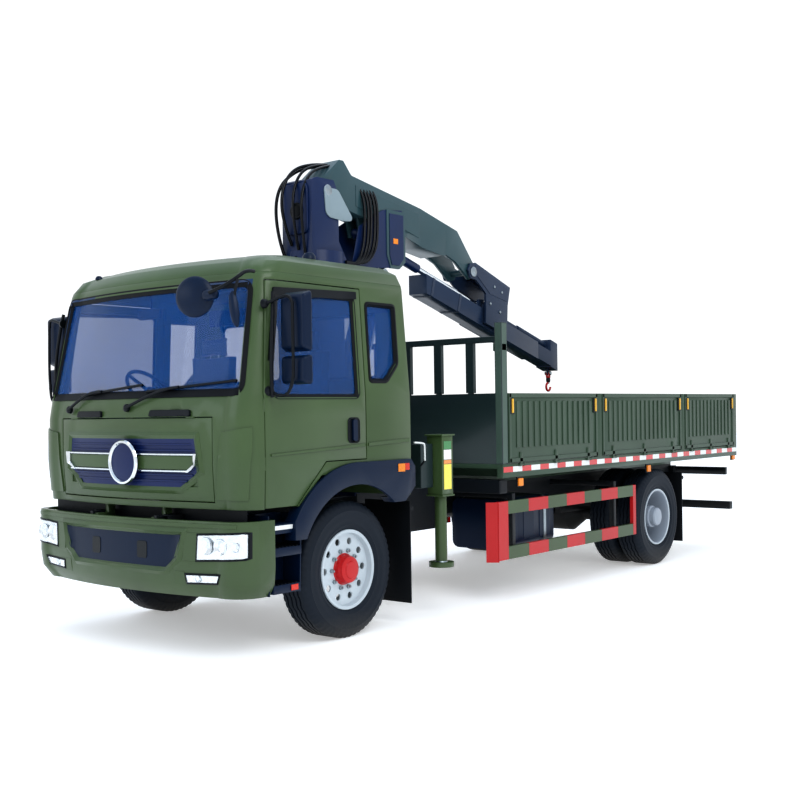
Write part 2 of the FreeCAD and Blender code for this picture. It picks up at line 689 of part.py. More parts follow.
def front_mirrors():
    """A round mirror and an oval one ahead of the windscreen's left top corner, with their arms."""
    round_one = rod("Y", "760", "front_axle - 1285", "2560", "105", "45")
    arm = box("740", "780", "front_axle - 1270", "front_axle - 900", "2640", "2668")
    oval = box("1010", "1090", "front_axle - 1230", "front_axle - 1180", "2430", "2640")
    arm_two = box("1030", "1060", "front_axle - 1200", "front_axle - 900", "2600", "2625")
    block = feature(loft(CAB + [(2678, 1130, fa - 1000, at.cab_back - 22)], -0.3), "cab_block")
    return node("front_mirrors", cut(group([fuse([round_one, arm]), fuse([oval, arm_two])]), block))


# Side gates: name, front end, rear end
GATES = (
    ("front", "bed_front + 90 + gate_gap", "post_one - post_length / 2 - gate_gap"),
    ("middle", "post_one + post_length / 2 + gate_gap", "post_two - post_length / 2 - gate_gap"),
    ("rear", "post_two + post_length / 2 + gate_gap", "bed_rear - post_length - gate_gap"),
)
# Where along each gate its hinges sit, as shares of its length, and across the tailgate
HINGE_SHARES = (0.12, 0.5, 0.88)
TAIL_HINGES = (-950, -320, 320, 950)


def hinge_places(start, end):
    return [f"({start}) * {1 - share} + ({end}) * {share}" for share in HINGE_SHARES]


# Hinge lugs on the bed: where each of a hinge's two starts, and how long it is
LUG_STARTS = (-44, 22.3)
LUG_LENGTH = 21.7


def gate_hinges():
    """Every side gate's hinge places along the bed, with the side that it is on."""
    found = []
    for label, start, end in GATES:
        for place in hinge_places(start, end):
            found += [(place, 1), (place, -1)]
    return found


def hinge_span(side, near, far):
    """From one distance outside the gate to another, on either side of the bed."""
    if side == 1:
        return f"bed_half + {near}", f"bed_half + {far}"
    return f"-bed_half - ({far})", f"-bed_half - ({near})"


# Bed: floor, edge rails, cross beams and sills on the frame, with the stake posts
def bed_deck():
    pieces = [box("-bed_half", "bed_half", "bed_front", "bed_rear - gate_wall - gate_gap", "deck_top - 40",
                  "deck_top")]
    for side in (1, -1):
        low, high = ("bed_half - 60", "bed_half") if side == 1 else ("-bed_half", "60 - bed_half")
        pieces.append(box(low, high, "bed_front", "bed_rear", "deck_low", "deck_top"))
        sill = ("rail_out - rail_flange", "rail_out")
        if side == -1:
            sill = ("-rail_out", "rail_flange - rail_out")
        pieces.append(box(*sill, "bed_front", "bed_rear - 90", "rail_top", "deck_low + 5"))
    pieces.append(box("-bed_half", "bed_half", "bed_rear - gate_wall - gate_gap - 60", "bed_rear", "deck_low",
                      "deck_top"))
    pieces.append(box("72 - bed_half", "bed_half - 72", "bed_front + 92",
                      "bed_rear - gate_wall - gate_gap - 12", "deck_top - 40", "deck_top + floor_rise"))
    for number in range(11):
        y = f"bed_front + 120 + {number} * (bed_length - 365) / 10"
        pieces.append(box("60 - bed_half", "bed_half - 60", y, f"{y} + 70", "deck_low + 5", "deck_top - 40"))
    for middle in ("post_one", "post_two", "bed_rear - post_length / 2"):
        for side in (1, -1):
            low, high = "bed_half - gate_wall", "bed_half"
            if side == -1:
                low, high = "-bed_half", "gate_wall - bed_half"
            pieces.append(box(low, high, f"{middle} - post_length / 2", f"{middle} + post_length / 2",
                              "deck_top", "gate_top"))
    lug_height = ("deck_top - hinge_drop - 14", "deck_top - hinge_drop + 13")
    for start in LUG_STARTS:
        for place, side in gate_hinges():
            pieces.append(box(*hinge_span(side, "0", "hinge_out + 12"), f"{place} + {start}",
                              f"{place} + {start} + {LUG_LENGTH}", *lug_height))
        for place in TAIL_HINGES:
            pieces.append(box(f"{place + start}", f"{place + start + LUG_LENGTH}", "bed_rear",
                              "bed_rear + tail_reach", *lug_height))
    bores = [rod("Y", f"{side} * (bed_half + hinge_out)", "bed_front", "deck_top - hinge_drop",
                 "hinge_pin + pin_play", "bed_length") for side in (1, -1)]
    bores.append(rod("X", "-bed_half", "bed_rear + hinge_out", "deck_top - hinge_drop",
                     "hinge_pin + pin_play", "bed_width"))
    return node("bed_deck", cut(fuse(pieces), fuse(bores)))


def headboard():
    """The bed's front wall with the rack of bars above it."""
    pieces = [box("-bed_half + 70", "bed_half - 70", "bed_front", "bed_front + 45", "deck_top", "gate_top")]
    for side in (1, -1):
        low, high = ("bed_half - 72", "bed_half") if side == 1 else ("-bed_half", "72 - bed_half")
        pieces.append(box(low, high, "bed_front", "bed_front + 90", "deck_top", "rack_post_top"))
    rack = ("bed_front + 5", "bed_front + 45")
    pieces.append(box("-bed_half + 70", "bed_half - 70", *rack, "rack_top - 45", "rack_top"))
    for x in (-850, -500, -150, 200, 550, 900):
        pieces.append(box(f"{x} - 20", f"{x} + 20", *rack, "gate_top", "rack_top"))
    return node("headboard", fuse(pieces))


def side_gates():
    """Three gates a side between the posts, each with its straps and hinge pins along the foot."""
    for label, start, end in GATES:
        parts = [box("bed_half - gate_wall", "bed_half", start, end, "gate_low", "gate_top")]
        for place in hinge_places(start, end):
            width = (f"{place} - 22", f"{place} + 22")
            axis = "deck_top - hinge_drop"
            parts.append(box("bed_half - 1", "bed_half + 3", *width, "gate_low + 4", "gate_low + 88"))
            parts.append(box("bed_half + 1", "bed_half + hinge_out - 2", *width, axis, "gate_low + 90"))
            parts.append(rod("Y", "bed_half + hinge_out", f"{place} - 22", axis, "hinge_pin + 4", "44"))
            parts.append(rod("Y", "bed_half + hinge_out", f"{place} - 42", axis, "hinge_pin", "84"))
        panel = fuse(parts)
        node(f"gate_left_{label}", panel)
        node(f"gate_right_{label}", mirror(panel))


def tailgate():
    parts = [box("-bed_half + gate_wall + gate_gap", "bed_half - gate_wall - gate_gap",
                 "bed_rear - gate_wall", "bed_rear", "gate_low", "gate_top")]
    for place in TAIL_HINGES:
        width = (f"{place} - 22", f"{place} + 22")
        axis = "deck_top - hinge_drop"
        parts.append(box(*width, "bed_rear - 1", "bed_rear + 3", "gate_low + 4", "gate_low + 88"))
        parts.append(box(*width, "bed_rear + 1", "bed_rear + hinge_out - 2", axis, "gate_low + 90"))
        parts.append(rod("X", f"{place} - 22", "bed_rear + hinge_out", axis, "hinge_pin + 4", "44"))
        parts.append(rod("X", f"{place} - 42", "bed_rear + hinge_out", axis, "hinge_pin", "84"))
    return node("tailgate", fuse(parts))


def side_guards():
    skin = ("guard_out - 30", "guard_out")
    end = "bed_front + guard_length"
    pieces = [
        box(*skin, "bed_front", end, "guard_top - 110", "guard_top"),
        box(*skin, "bed_front", end, "guard_low", "guard_low + 110"),
        box(*skin, "bed_front - 20", "bed_front + 100", "guard_low", "guard_top"),
        box(*skin, f"{end} - 60", end, "guard_low", "guard_top"),
    ]
    for behind in (250, 2150):
        y = f"bed_front + {behind}"
        pieces.append(box("rail_out", "guard_out - 30", y, f"{y} + 50", "895", "945"))
        pieces.append(box("guard_out - 80", "guard_out - 30", y, f"{y} + 50", "guard_low", "945"))
    left = fuse(pieces)
    return node("side_guards", group([left, mirror(left)]))


def rear_bars():
    """The lamp bar and the underrun bar across the tail."""
    pieces = [
        box("-1135", "1135", "bed_rear - 89.7", "bed_rear - 40", "860", "950"),
        box("-1215", "1215", "bed_rear - 160", "bed_rear - 80", "450", "540"),
    ]
    for side in (1, -1):
        low, high = ("rail_out", "rail_out + 60") if side == 1 else ("-rail_out - 60", "-rail_out")
        pieces.append(box(low, high, "bed_rear - 150", "bed_rear - 60", "500", "rail_top - 20"))
    return node("rear_bars", fuse(pieces))


# Wheels
def tyre_profile():
    half = at.tyre_width / 2
    crown = at.tyre_radius
    bead = at.rim_radius
    seat = at.rim_width / 2 - 10.3
    return [(-seat, bead), (-seat, bead + 11), (-half, bead + 85), (-half + 4, bead + 150),
            (-half + 30, crown - 14),
            (-half + 42, crown), (half - 42, crown), (half - 30, crown - 14), (half - 4, bead + 150),
            (half, bead + 85), (seat, bead + 11), (seat, bead)]


def rim_profile(disc, thickness):
    """The rim's section: a well, two flanges and a flat disc at a distance from the middle."""
    half = at.rim_width / 2
    bead = at.rim_radius
    return [(-half, bead + 10), (-half, bead - 14), (disc - thickness, bead - 20), (disc - thickness, 60),
            (disc, 60), (disc, bead - 20), (half, bead - 14), (half, bead + 10), (half - 10, bead + 10),
            (half - 10, bead), (10 - half, bead), (10 - half, bead + 10)]


def hand_holes(middle, radius, count, hole, reach):
    holes = []
    for number in range(count):
        turn = math.radians(360 / count * number)
        offset = Vector(-reach, radius * math.cos(turn), radius * math.sin(turn))
        start = middle + offset
        holes.append(strut(start, start + Vector(2 * reach, 0, 0), hole))
    return holes


def wheels():
    middle = Vector(at.front_wheel_out, at.front_axle, at.tyre_radius)
    tyre = turned(tyre_profile(), middle, "tyre_front_left")
    node("tyre_front_left", tyre)
    node("tyre_front_right", mirror(tyre))
    disc = turned(rim_profile(70, 14), middle)
    hub = rod("X", "kingpin_out + 60", "front_axle", "tyre_radius", "hub_radius",
              "front_wheel_out - kingpin_out + 60")
    cap = rod("X", "front_wheel_out + 100", "front_axle", "tyre_radius", "62", "50")
    bore = rod("X", "kingpin_out + 50", "front_axle", "tyre_radius", "38 + pin_play", "195")
    rim = cut(fuse([disc, hub, cap]), fuse(hand_holes(middle, 215, 10, 26, 160) + [bore]))
    node("rim_front_left", rim)
    node("rim_front_right", mirror(rim))

    outer = Vector(at.rear_wheel_out, at.rear_axle, at.tyre_radius)
    inner = Vector(at.twin_inner_out, at.rear_axle, at.tyre_radius)
    twins = group([turned(tyre_profile(), outer), turned(tyre_profile(), inner)])
    node("tyres_rear_left", twins)
    node("tyres_rear_right", mirror(twins))
    spacing = at.twin_spacing / 2
    dished = turned(rim_profile(-spacing + 14, 14), outer)
    backed = turned([(-across, radius) for across, radius in rim_profile(-spacing + 14, 14)], inner)
    hub = rod("X", "twin_inner_out + 40", "rear_axle", "tyre_radius", "hub_radius + 10", "twin_spacing + 10")
    rims = fuse([dished, backed, hub])
    bore = rod("X", "twin_inner_out + 30", "rear_axle", "tyre_radius", "50 + pin_play", "140")
    rims = cut(rims, fuse(hand_holes(outer, 215, 10, 26, 460) + [bore]))
    node("rims_rear_left", rims)
    node("rims_rear_right", mirror(rims))


def knuckles():
    """A steering knuckle a side: a fork on the kingpin, with the stub axle that carries the hub."""
    fork = [
        rod("Z", "kingpin_out", "front_axle", "392", "kingpin_radius", "226"),
        box("kingpin_out - 45", "kingpin_out + 55", "front_axle - 45", "front_axle + 45", "392", "429.7"),
        box("kingpin_out - 45", "kingpin_out + 55", "front_axle - 45", "front_axle + 45", "580.3", "618"),
        box("kingpin_out + 53", "kingpin_out + 59.7", "front_axle - 60", "front_axle + 60", "392", "632"),
        rod("X", "kingpin_out + 55", "front_axle", "tyre_radius", "38", "185"),
    ]
    left = fuse(fork)
    node("knuckle_left", left)
    return node("knuckle_right", mirror(left))


# Crane
K = at.crane_out


def crane_base():
    """The subframe on the rails, the fixed half of the turntable and the stabilisers' cross box."""
    pieces = [
        box("-rail_out", "rail_out", "crane_at - 190", "crane_at + 330", "rail_top", "rail_top + 90"),
        rod("Z", "crane_out", "crane_at", "rail_top + 60", "290", "turntable_top - rail_top - 60"),
    ]
    cross_box = box("-1000", "1000", "jack_at - 90", "jack_at + 90", "rail_top + 80", "rail_top + 280")
    tunnel = box("-1010", "1010", "jack_at - 78", "jack_at + 78", "rail_top + 92", "rail_top + 268")
    divider = box("-8", "8", "jack_at - 78", "jack_at + 78", "rail_top + 92", "rail_top + 268")
    hollow = cut(fuse(pieces + [cross_box]), tunnel)
    return node("crane_base", fuse([hollow, divider]))


def stabilisers():
    beam = box("60", "jack_out - jack_width / 2 + 5", "jack_at - 78 + pad_play", "jack_at + 78 - pad_play",
               "rail_top + 92 + pad_play", "rail_top + 268 - pad_play")
    tube = box("jack_out - jack_width / 2", "jack_out + jack_width / 2", "jack_at - jack_width / 2",
               "jack_at + jack_width / 2", "rail_top + 5", "rail_top + 515")
    bore = rod("Z", "jack_out", "jack_at", "rail_top - 10", "50 + pad_play", "500")
    left = cut(fuse([beam, tube]), bore)
    node("stabiliser_beam_left", left)
    node("stabiliser_beam_right", mirror(left))
    leg = fuse([
        rod("Z", "jack_out", "jack_at", "jack_foot_low + 20", "50", "rail_top + 470 - jack_foot_low - 20"),
        rod("Z", "jack_out", "jack_at", "jack_foot_low", "105", "40"),
    ])
    node("stabiliser_leg_left", leg)
    return node("stabiliser_leg_right", mirror(leg))


def plates(outline, inner, outer):
    """A pair of cheek plates either side of the crane's middle plane."""
    return [plate(outline, K + inner, K + outer), plate(outline, K - outer, K - inner)]


def yz(pairs):
    """Outline points given in metres behind the crane column's axis and above the ground."""
    return [(at.crane_at + 1000 * y, 1000 * z) for y, z in pairs]


def spot(y, z, x=0.0):
    return Vector(K + 1000 * x, at.crane_at + 1000 * y, 1000 * z)


# Crane joints: metres behind the column's axis, height
BOOM_PIN = (-0.02, 3.63)
LIFT_FOOT = (0.34, 1.75)
LIFT_EYE = (0.937, 3.287)
FOLD_REAR = (0.59, 3.345)
FOLD_EYE = (2.508, 2.80)
FOLD_PIN = (2.219, 3.107)
HOOK_PIN = (3.96, 2.10)
LIFT_ACROSS = 0.095


def crane_column():
    post = rod("Z", "crane_out", "crane_at", "turntable_top + 0.3", "column_radius", "1600")
    ring = rod("Z", "crane_out", "crane_at", "turntable_top + 0.3", "290", "60")
    head = plate(yz([(-0.23, 2.95), (-0.23, 3.70), (-0.16, 3.73), (-0.16, 2.95)]), K - 176, K + 176)
    cheeks = plates(yz([(-0.23, 2.95), (-0.23, 3.70), (-0.16, 3.73), (0.06, 3.73), (0.12, 3.62), (0.12, 3.2),
                        (0.22, 3.05), (0.22, 2.95)]), 146, 176)
    foot = plates(yz([(0.1, 1.62), (0.1, 1.95), (0.34, 1.83), (0.40, 1.75), (0.34, 1.67)]), 150, 175)
    pin = rod("X", "crane_out - 176", f"crane_at + {1000 * LIFT_FOOT[0]}", f"{1000 * LIFT_FOOT[1]}",
              "25", "352")
    boom_pin = rod("X", "crane_out - 176", f"crane_at + {1000 * BOOM_PIN[0]}", f"{1000 * BOOM_PIN[1]}",
                   "35", "352")
    return node("crane_column", fuse([post, ring, head, pin, boom_pin] + cheeks + foot))


def inner_boom():
    beam = plate(yz([(-0.12, 3.58), (-0.12, 3.68), (0.18, 3.936), (0.236, 3.936), (0.345, 3.82),
                     (1.366, 3.651), (1.86, 3.53), (1.86, 3.255), (1.735, 3.228), (1.39, 3.278),
                     (1.084, 3.364), (0.223, 3.513)]), K - at.boom_half, K + at.boom_half)
    fork = plates(yz([(1.80, 3.24), (1.80, 3.545), (1.985, 3.50), (2.27, 3.19), (2.30, 3.107), (2.27, 3.05),
                      (2.19, 3.03), (1.95, 3.19)]), 100, 140)
    brackets = plates(yz([(0.817, 3.572), (1.093, 3.572), (1.093, 3.10), (1.0, 3.03), (0.87, 3.03),
                          (0.817, 3.15)]), 139, 165)
    ears = plates(yz([(0.50, 3.47), (0.54, 3.30), (0.64, 3.30), (0.70, 3.44)]), 50, 80)
    pin = strut(spot(*FOLD_REAR, -0.08), spot(*FOLD_REAR, 0.08), 22)
    knee_pin = strut(spot(*FOLD_PIN, -0.172), spot(*FOLD_PIN, 0.172), 34)
    whole = fuse([beam, pin, knee_pin] + fork + brackets + ears)
    bore = strut(spot(*BOOM_PIN, -0.2), spot(*BOOM_PIN, 0.2), 35 + at.pin_play)
    return node("inner_boom", cut(whole, bore))


SLOPE = 0.2846
LOW_START = (1.552, 2.826)


def along(y, above=0.0):
    """A point on the outer boom's underside, or above it."""
    return (y, LOW_START[1] - SLOPE * (y - LOW_START[0]) + above)


def sloped_box(start, end, low, high, inner, outer, name="sloped"):
    """A box that lies along the outer boom, from one distance to another."""
    outline = yz([along(start, low), along(start, high), along(end, high), along(end, low)])
    return plate(outline, K + inner, K + outer, name)


def outer_boom():
    half = at.outer_half
    wall = at.boom_wall
    box_outer = sloped_box(1.497, 3.57, 0, 0.19, -half, half)
    hollow = sloped_box(1.53, 3.60, wall / 1000, 0.19 - wall / 1000, wall - half, half - wall)
    tube = cut(box_outer, hollow)
    cheeks = plates(yz([(2.13, 3.12), (2.17, 3.19), (2.26, 3.205), (2.91, 2.994), (2.86, 2.80),
                        along(2.84, 0.02), along(2.44, 0.02), (2.45, 2.90), (2.27, 3.03), (2.17, 3.04)]),
                    145, 170)
    fills = plates(yz([along(2.46, 0.026), (2.46, 2.80), along(2.82, 0.184), along(2.82, 0.026)]),
                   half - 1, 146)
    lid = plate(yz([(2.45, 3.122), (2.45, 3.14), (2.895, 2.996), (2.89, 2.979)]), K - 146, K + 146)
    ears = plates(yz([along(2.42, 0.18), (2.47, 2.85), (2.55, 2.85), along(2.62, 0.18)]), 42, 68)
    ram = strut(spot(*along(2.95, 0.255)), spot(*along(3.86, 0.255)), 22)
    saddle = sloped_box(2.95, 3.03, 0.185, 0.25, -30, 30)
    pads = []
    for low, high in ((wall / 1000, 0.013 - 0.0003), (0.177 + 0.0003, 0.19 - wall / 1000)):
        pads.append(sloped_box(3.48, 3.565, low, high, -60, 60))
    whole = fuse([tube, lid, ram, saddle] + cheeks + fills + ears + pads)
    bore = strut(spot(*FOLD_PIN, -0.2), spot(*FOLD_PIN, 0.2), 34 + at.pin_play)
    return node("outer_boom", cut(whole, bore))


def boom_extension():
    half = at.outer_half - at.boom_wall - at.slide_play
    inner = sloped_box(1.60, 3.90, 0.013, 0.177, -half, half)
    head = sloped_box(3.86, 4.01, 0.0, 0.31, -half, half)
    barrel = strut(spot(*along(3.29, 0.255)), spot(*along(3.90, 0.255)), 34)
    ram_bore = strut(spot(*along(3.28, 0.255)), spot(*along(3.88, 0.255)), 22 + at.pin_play)
    tongue = plate(yz([(3.938, 2.18), (3.938, 2.10), (3.982, 2.10), (3.982, 2.18)]), K - 10, K + 10)
    tongue_end = strut(spot(*HOOK_PIN, -0.01), spot(*HOOK_PIN, 0.01), 22)
    bore = strut(spot(*HOOK_PIN, -0.02), spot(*HOOK_PIN, 0.02), 9 + at.pin_play)
    return node("boom_extension", cut(cut(fuse([inner, head, barrel, tongue, tongue_end]), bore), ram_bore))


def cylinder(foot, eye, barrel_length, barrel_radius, rod_radius, names, across=(0.0,), foot_hole=25):
    """A hydraulic cylinder along a line: its barrel with a foot eye, its rod with a free end eye."""
    barrels, rods = [], []
    for x in across:
        start = spot(*foot, x)
        end = spot(*eye, x)
        run = (end - start).normalize()
        width = Vector(32 if len(across) > 1 else 40, 0, 0)
        shell = fuse([strut(start + run * 45, start + run * barrel_length, barrel_radius),
                      strut(start - width, start + width, 48)])
        bore = strut(start + run * 110, start + run * (barrel_length + 1), rod_radius + at.pin_play)
        hole = strut(start - width * 2, start + width * 2, foot_hole + at.pin_play)
        barrels.append(cut(cut(shell, bore), hole))
        rods.append(fuse([strut(start + run * (barrel_length - 260), end - run * 20, rod_radius),
                          strut(end - width, end + width, 40)]))
    node(names[0], group(barrels) if len(barrels) > 1 else barrels[0])
    node(names[1], group(rods) if len(rods) > 1 else rods[0])


def hook():
    """A clevis on the boom's tongue, a shank and an open hook."""
    top = spot(*HOOK_PIN)
    pin = strut(spot(*HOOK_PIN, -0.024), spot(*HOOK_PIN, 0.024), 9)
    cheeks = []
    for side in (-1, 1):
        cheek = Part.makeBox(8, 36, 60, top + Vector(side * 17 - 4, -18, -52))
        cheeks.append(feature(cheek, "cheek"))
    block = feature(Part.makeBox(42, 36, 26, top + Vector(-21, -18, -52)), "block")
    shank = strut(top + Vector(0, 0, -50), top + Vector(0, 0, -112), 12)
    bowl = doc.addObject("Part::Torus", "hook_bowl")
    bowl.Radius1 = 45
    bowl.Radius2 = 13
    bowl.Angle3 = 270
    upright = Rotation(Vector(0, 1, 0), 90) * Rotation(Vector(0, 0, 1), 180)
    bowl.Placement = Placement(top + Vector(0, 0, -156), upright)
    return node("hook", fuse([pin, block, shank, bowl] + cheeks))


chassis_frame()
front_axle_beam()
rear_axle_beam()
engine_and_shaft()
fuel_tank()
right_side_units()
cab_pieces()
bumper_and_lamps()
steps()
mudflaps()
arch_flares()
seats()
dashboard()
steering_wheel()
mirrors()
front_mirrors()
bed_deck()
headboard()
side_gates()
tailgate()
side_guards()
rear_bars()
wheels()
knuckles()
crane_base()
stabilisers()
crane_column()
inner_boom()
outer_boom()
boom_extension()
cylinder(LIFT_FOOT, LIFT_EYE, 1350, 50, 32, ("lift_barrels", "lift_rods"), (-LIFT_ACROSS, LIFT_ACROSS))
cylinder(FOLD_REAR, FOLD_EYE, 930, 45, 28, ("fold_barrel", "fold_rod"), foot_hole=22)
hook()

doc.recompute()
for item in doc.Objects:
    if "Invalid" in item.State or "Error" in item.State:
        raise RuntimeError(f"{item.Label} failed: {item.State}")
for item in nodes:
    if item.Shape.isNull() or not item.Shape.isValid() or item.Shape.Volume < 1:
        raise RuntimeError(f"{item.Label} has no valid shape")
for item in nodes:
    item.Shape.exportStep(f"parts/{item.Label}.step")
print(len(nodes), "pieces written")
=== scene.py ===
import bpy, bmesh, math
from mathutils import Vector, Matrix
from mathutils.bvhtree import BVHTree


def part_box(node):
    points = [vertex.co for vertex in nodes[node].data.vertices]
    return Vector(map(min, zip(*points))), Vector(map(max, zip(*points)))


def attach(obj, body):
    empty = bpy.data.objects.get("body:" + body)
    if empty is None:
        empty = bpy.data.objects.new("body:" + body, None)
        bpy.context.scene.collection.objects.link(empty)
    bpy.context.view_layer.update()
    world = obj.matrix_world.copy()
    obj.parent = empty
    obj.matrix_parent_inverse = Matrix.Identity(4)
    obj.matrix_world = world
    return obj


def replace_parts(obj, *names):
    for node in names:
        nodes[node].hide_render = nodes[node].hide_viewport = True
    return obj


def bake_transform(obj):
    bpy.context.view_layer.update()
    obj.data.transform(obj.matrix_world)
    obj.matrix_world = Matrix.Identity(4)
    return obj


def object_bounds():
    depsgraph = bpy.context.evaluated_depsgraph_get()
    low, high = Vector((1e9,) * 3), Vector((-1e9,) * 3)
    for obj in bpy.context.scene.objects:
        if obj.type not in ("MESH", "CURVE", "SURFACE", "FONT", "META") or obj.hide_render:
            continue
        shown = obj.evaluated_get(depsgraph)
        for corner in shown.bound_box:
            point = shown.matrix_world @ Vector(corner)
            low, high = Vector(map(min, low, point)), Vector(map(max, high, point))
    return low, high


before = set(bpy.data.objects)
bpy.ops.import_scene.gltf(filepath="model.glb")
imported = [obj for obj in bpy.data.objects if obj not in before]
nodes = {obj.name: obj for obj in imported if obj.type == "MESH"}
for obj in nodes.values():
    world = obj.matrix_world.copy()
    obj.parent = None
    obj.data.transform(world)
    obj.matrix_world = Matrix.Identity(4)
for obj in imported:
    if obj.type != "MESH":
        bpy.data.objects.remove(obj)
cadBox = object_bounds()
sides = (("left", 1), ("right", -1))

# ------- small helpers


def toLinear(hexColour, shade=1.0):
    parts = [int(hexColour[i:i + 2], 16) / 255 for i in (1, 3, 5)]
    return [(c / 12.92 if c <= 0.04045 else ((c + 0.055) / 1.055) ** 2.4) * shade for c in parts] + [1]


def fillInputs(tree, node, inputs):
    for key, value in inputs.items():
        if isinstance(value, bpy.types.NodeSocket):
            tree.links.new(value, node.inputs[key])
        else:
            node.inputs[key].default_value = value


def addNode(tree, kind, settings=None, inputs=None, output=0):
    # one node with its settings, a ramp's stops and its inputs; gives back one of its outputs
    node = tree.nodes.new("ShaderNode" + kind)
    for key, value in (settings or {}).items():
        if key == "stops":
            band = node.color_ramp
            while len(band.elements) < len(value):
                band.elements.new(0.5)
            for element, (place, colour) in zip(band.elements, value):
                element.position = place
                element.color = colour
        else:
            setattr(node, key, value)
    fillInputs(tree, node, inputs or {})
    return node.outputs[output]


def startMaterial(name, **sockets):
    material = bpy.data.materials.new(name)
    material.use_nodes = True
    tree = material.node_tree
    shader = tree.nodes["Principled BSDF"]
    fillInputs(tree, shader, {key.replace("_", " "): value for key, value in sockets.items()})
    return material, tree, shader, addNode(tree, "TexCoord", output="Object")


print("materials")
grimeBand = {"low": 0.35, "high": 1.1, "hex": "#3a3a33"}
# middle and half size of the room that the cab's lining faces
seatRoom = {"X": (0.0, 1.04), "Y": (-3.085, 0.785), "Z": (1.935, 0.685)}


def sprayedPaint(name, hexColour, roughness=0.36, coat=0.35, shade=0.10, grime=0.0, lining=None):
    # two-pack enamel sprayed on sheet steel: soft gloss, a faint orange peel, dust low down
    material, tree, shader, place = startMaterial(name, Metallic=0.0, Roughness=roughness, Coat_Weight=coat * 0.5,
                                                  Coat_Roughness=0.12, Specular_IOR_Level=0.3)
    blotch = addNode(tree, "TexNoise", inputs={"Vector": place, "Scale": 1.7, "Detail": 3.0})
    tone = addNode(tree, "ValToRGB", {"stops": [(0.3, toLinear(hexColour, 1 - shade)),
                                                (0.7, toLinear(hexColour, 1 + shade))]}, {"Fac": blotch})
    if grime:
        height = addNode(tree, "SeparateXYZ", inputs={"Vector": place}, output="Z")
        low = addNode(tree, "MapRange", inputs={"Value": height, "From Min": grimeBand["low"],
                                                "From Max": grimeBand["high"], "To Min": grime, "To Max": 0.0})
        speck = addNode(tree, "TexNoise", inputs={"Vector": place, "Scale": 14.0, "Detail": 6.0})
        dust = addNode(tree, "Math", {"operation": "MULTIPLY"}, {0: low, 1: speck})
        tone = addNode(tree, "Mix", {"data_type": "RGBA"}, {"Factor": dust, "A": tone,
                                                            "B": toLinear(grimeBand["hex"])}, "Result")
    if lining:
        inside = 1.0
        for axis, (middle, reach) in seatRoom.items():
            along = addNode(tree, "SeparateXYZ", inputs={"Vector": place}, output=axis)
            near = addNode(tree, "Math", {"operation": "COMPARE"}, {0: along, 1: middle, 2: reach})
            inside = addNode(tree, "Math", {"operation": "MULTIPLY"}, {0: inside, 1: near})
        tone = addNode(tree, "Mix", {"data_type": "RGBA"}, {"Factor": inside, "A": tone, "B": toLinear(lining)},
                       "Result")
    # orange peel dimples of about 4 mm, drawn coarser than life so that they show
    peel = addNode(tree, "TexNoise", inputs={"Vector": place, "Scale": 1 / 0.012, "Detail": 2.0})
    fillInputs(tree, shader, {"Base Color": tone, "Normal": addNode(tree, "Bump", inputs={
        "Strength": 0.05, "Distance": 0.002, "Height": peel})})
    return material


def mouldedPlastic(name, hexColour, roughness=0.5, grain=0.006, bump=0.25):
    # ABS or polypropylene from a grained mould: dull, with a fine leathery skin
    material, tree, shader, place = startMaterial(name, Roughness=roughness, Specular_IOR_Level=0.22)
    cells = addNode(tree, "TexVoronoi", inputs={"Vector": place, "Scale": 1 / grain}, output="Distance")
    tone = addNode(tree, "ValToRGB", {"stops": [(0.0, toLinear(hexColour, 0.8)), (0.8, toLinear(hexColour))]},
                   {"Fac": cells})
    fillInputs(tree, shader, {"Base Color": tone, "Normal": addNode(tree, "Bump", inputs={
        "Strength": bump, "Distance": 0.0008, "Height": cells})})
    return material


def platedMetal(name, hexColour, roughness=0.08, brushed=0.0):
    # chrome plate over turned steel: mirror bright, faint lines round it
    material, tree, shader, place = startMaterial(name, Metallic=1.0, Roughness=roughness)
    cloud = addNode(tree, "TexNoise", inputs={"Vector": place, "Scale": 1 / 0.03, "Detail": 4.0})
    tone = addNode(tree, "ValToRGB", {"stops": [(0.35, toLinear(hexColour, 0.88)), (0.65, toLinear(hexColour))]},
                   {"Fac": cloud})
    fillInputs(tree, shader, {"Base Color": tone})
    if brushed:
        stretch = addNode(tree, "Mapping", inputs={"Vector": place, "Scale": (1 / 0.002, 1 / 0.002, 30)})
        lines = addNode(tree, "TexNoise", inputs={"Vector": stretch, "Scale": 1.0})
        fillInputs(tree, shader, {"Normal": addNode(tree, "Bump", inputs={
            "Strength": brushed, "Distance": 0.0005, "Height": lines})})
    return material


def vulcanisedRubber(name, hexColour):
    # carbon-black rubber out of a steel mould, greyed by road dust where it meets the ground
    material, tree, shader, place = startMaterial(name, Roughness=0.55, Specular_IOR_Level=0.2)
    fine = addNode(tree, "TexNoise", inputs={"Vector": place, "Scale": 1 / 0.02, "Detail": 6.0})
    height = addNode(tree, "SeparateXYZ", inputs={"Vector": place}, output="Z")
    low = addNode(tree, "MapRange", inputs={"Value": height, "From Min": 0.0, "From Max": 0.2, "To Min": 0.85,
                                            "To Max": 0.0})
    dust = addNode(tree, "Math", {"operation": "MULTIPLY"}, {0: low, 1: fine})
    tone = addNode(tree, "Mix", {"data_type": "RGBA"}, {"Factor": dust, "A": toLinear(hexColour),
                                                        "B": toLinear("#4b463e")}, "Result")
    fillInputs(tree, shader, {"Base Color": tone, "Normal": addNode(tree, "Bump", inputs={
        "Strength": 0.2, "Distance": 0.001, "Height": fine})})
    return material


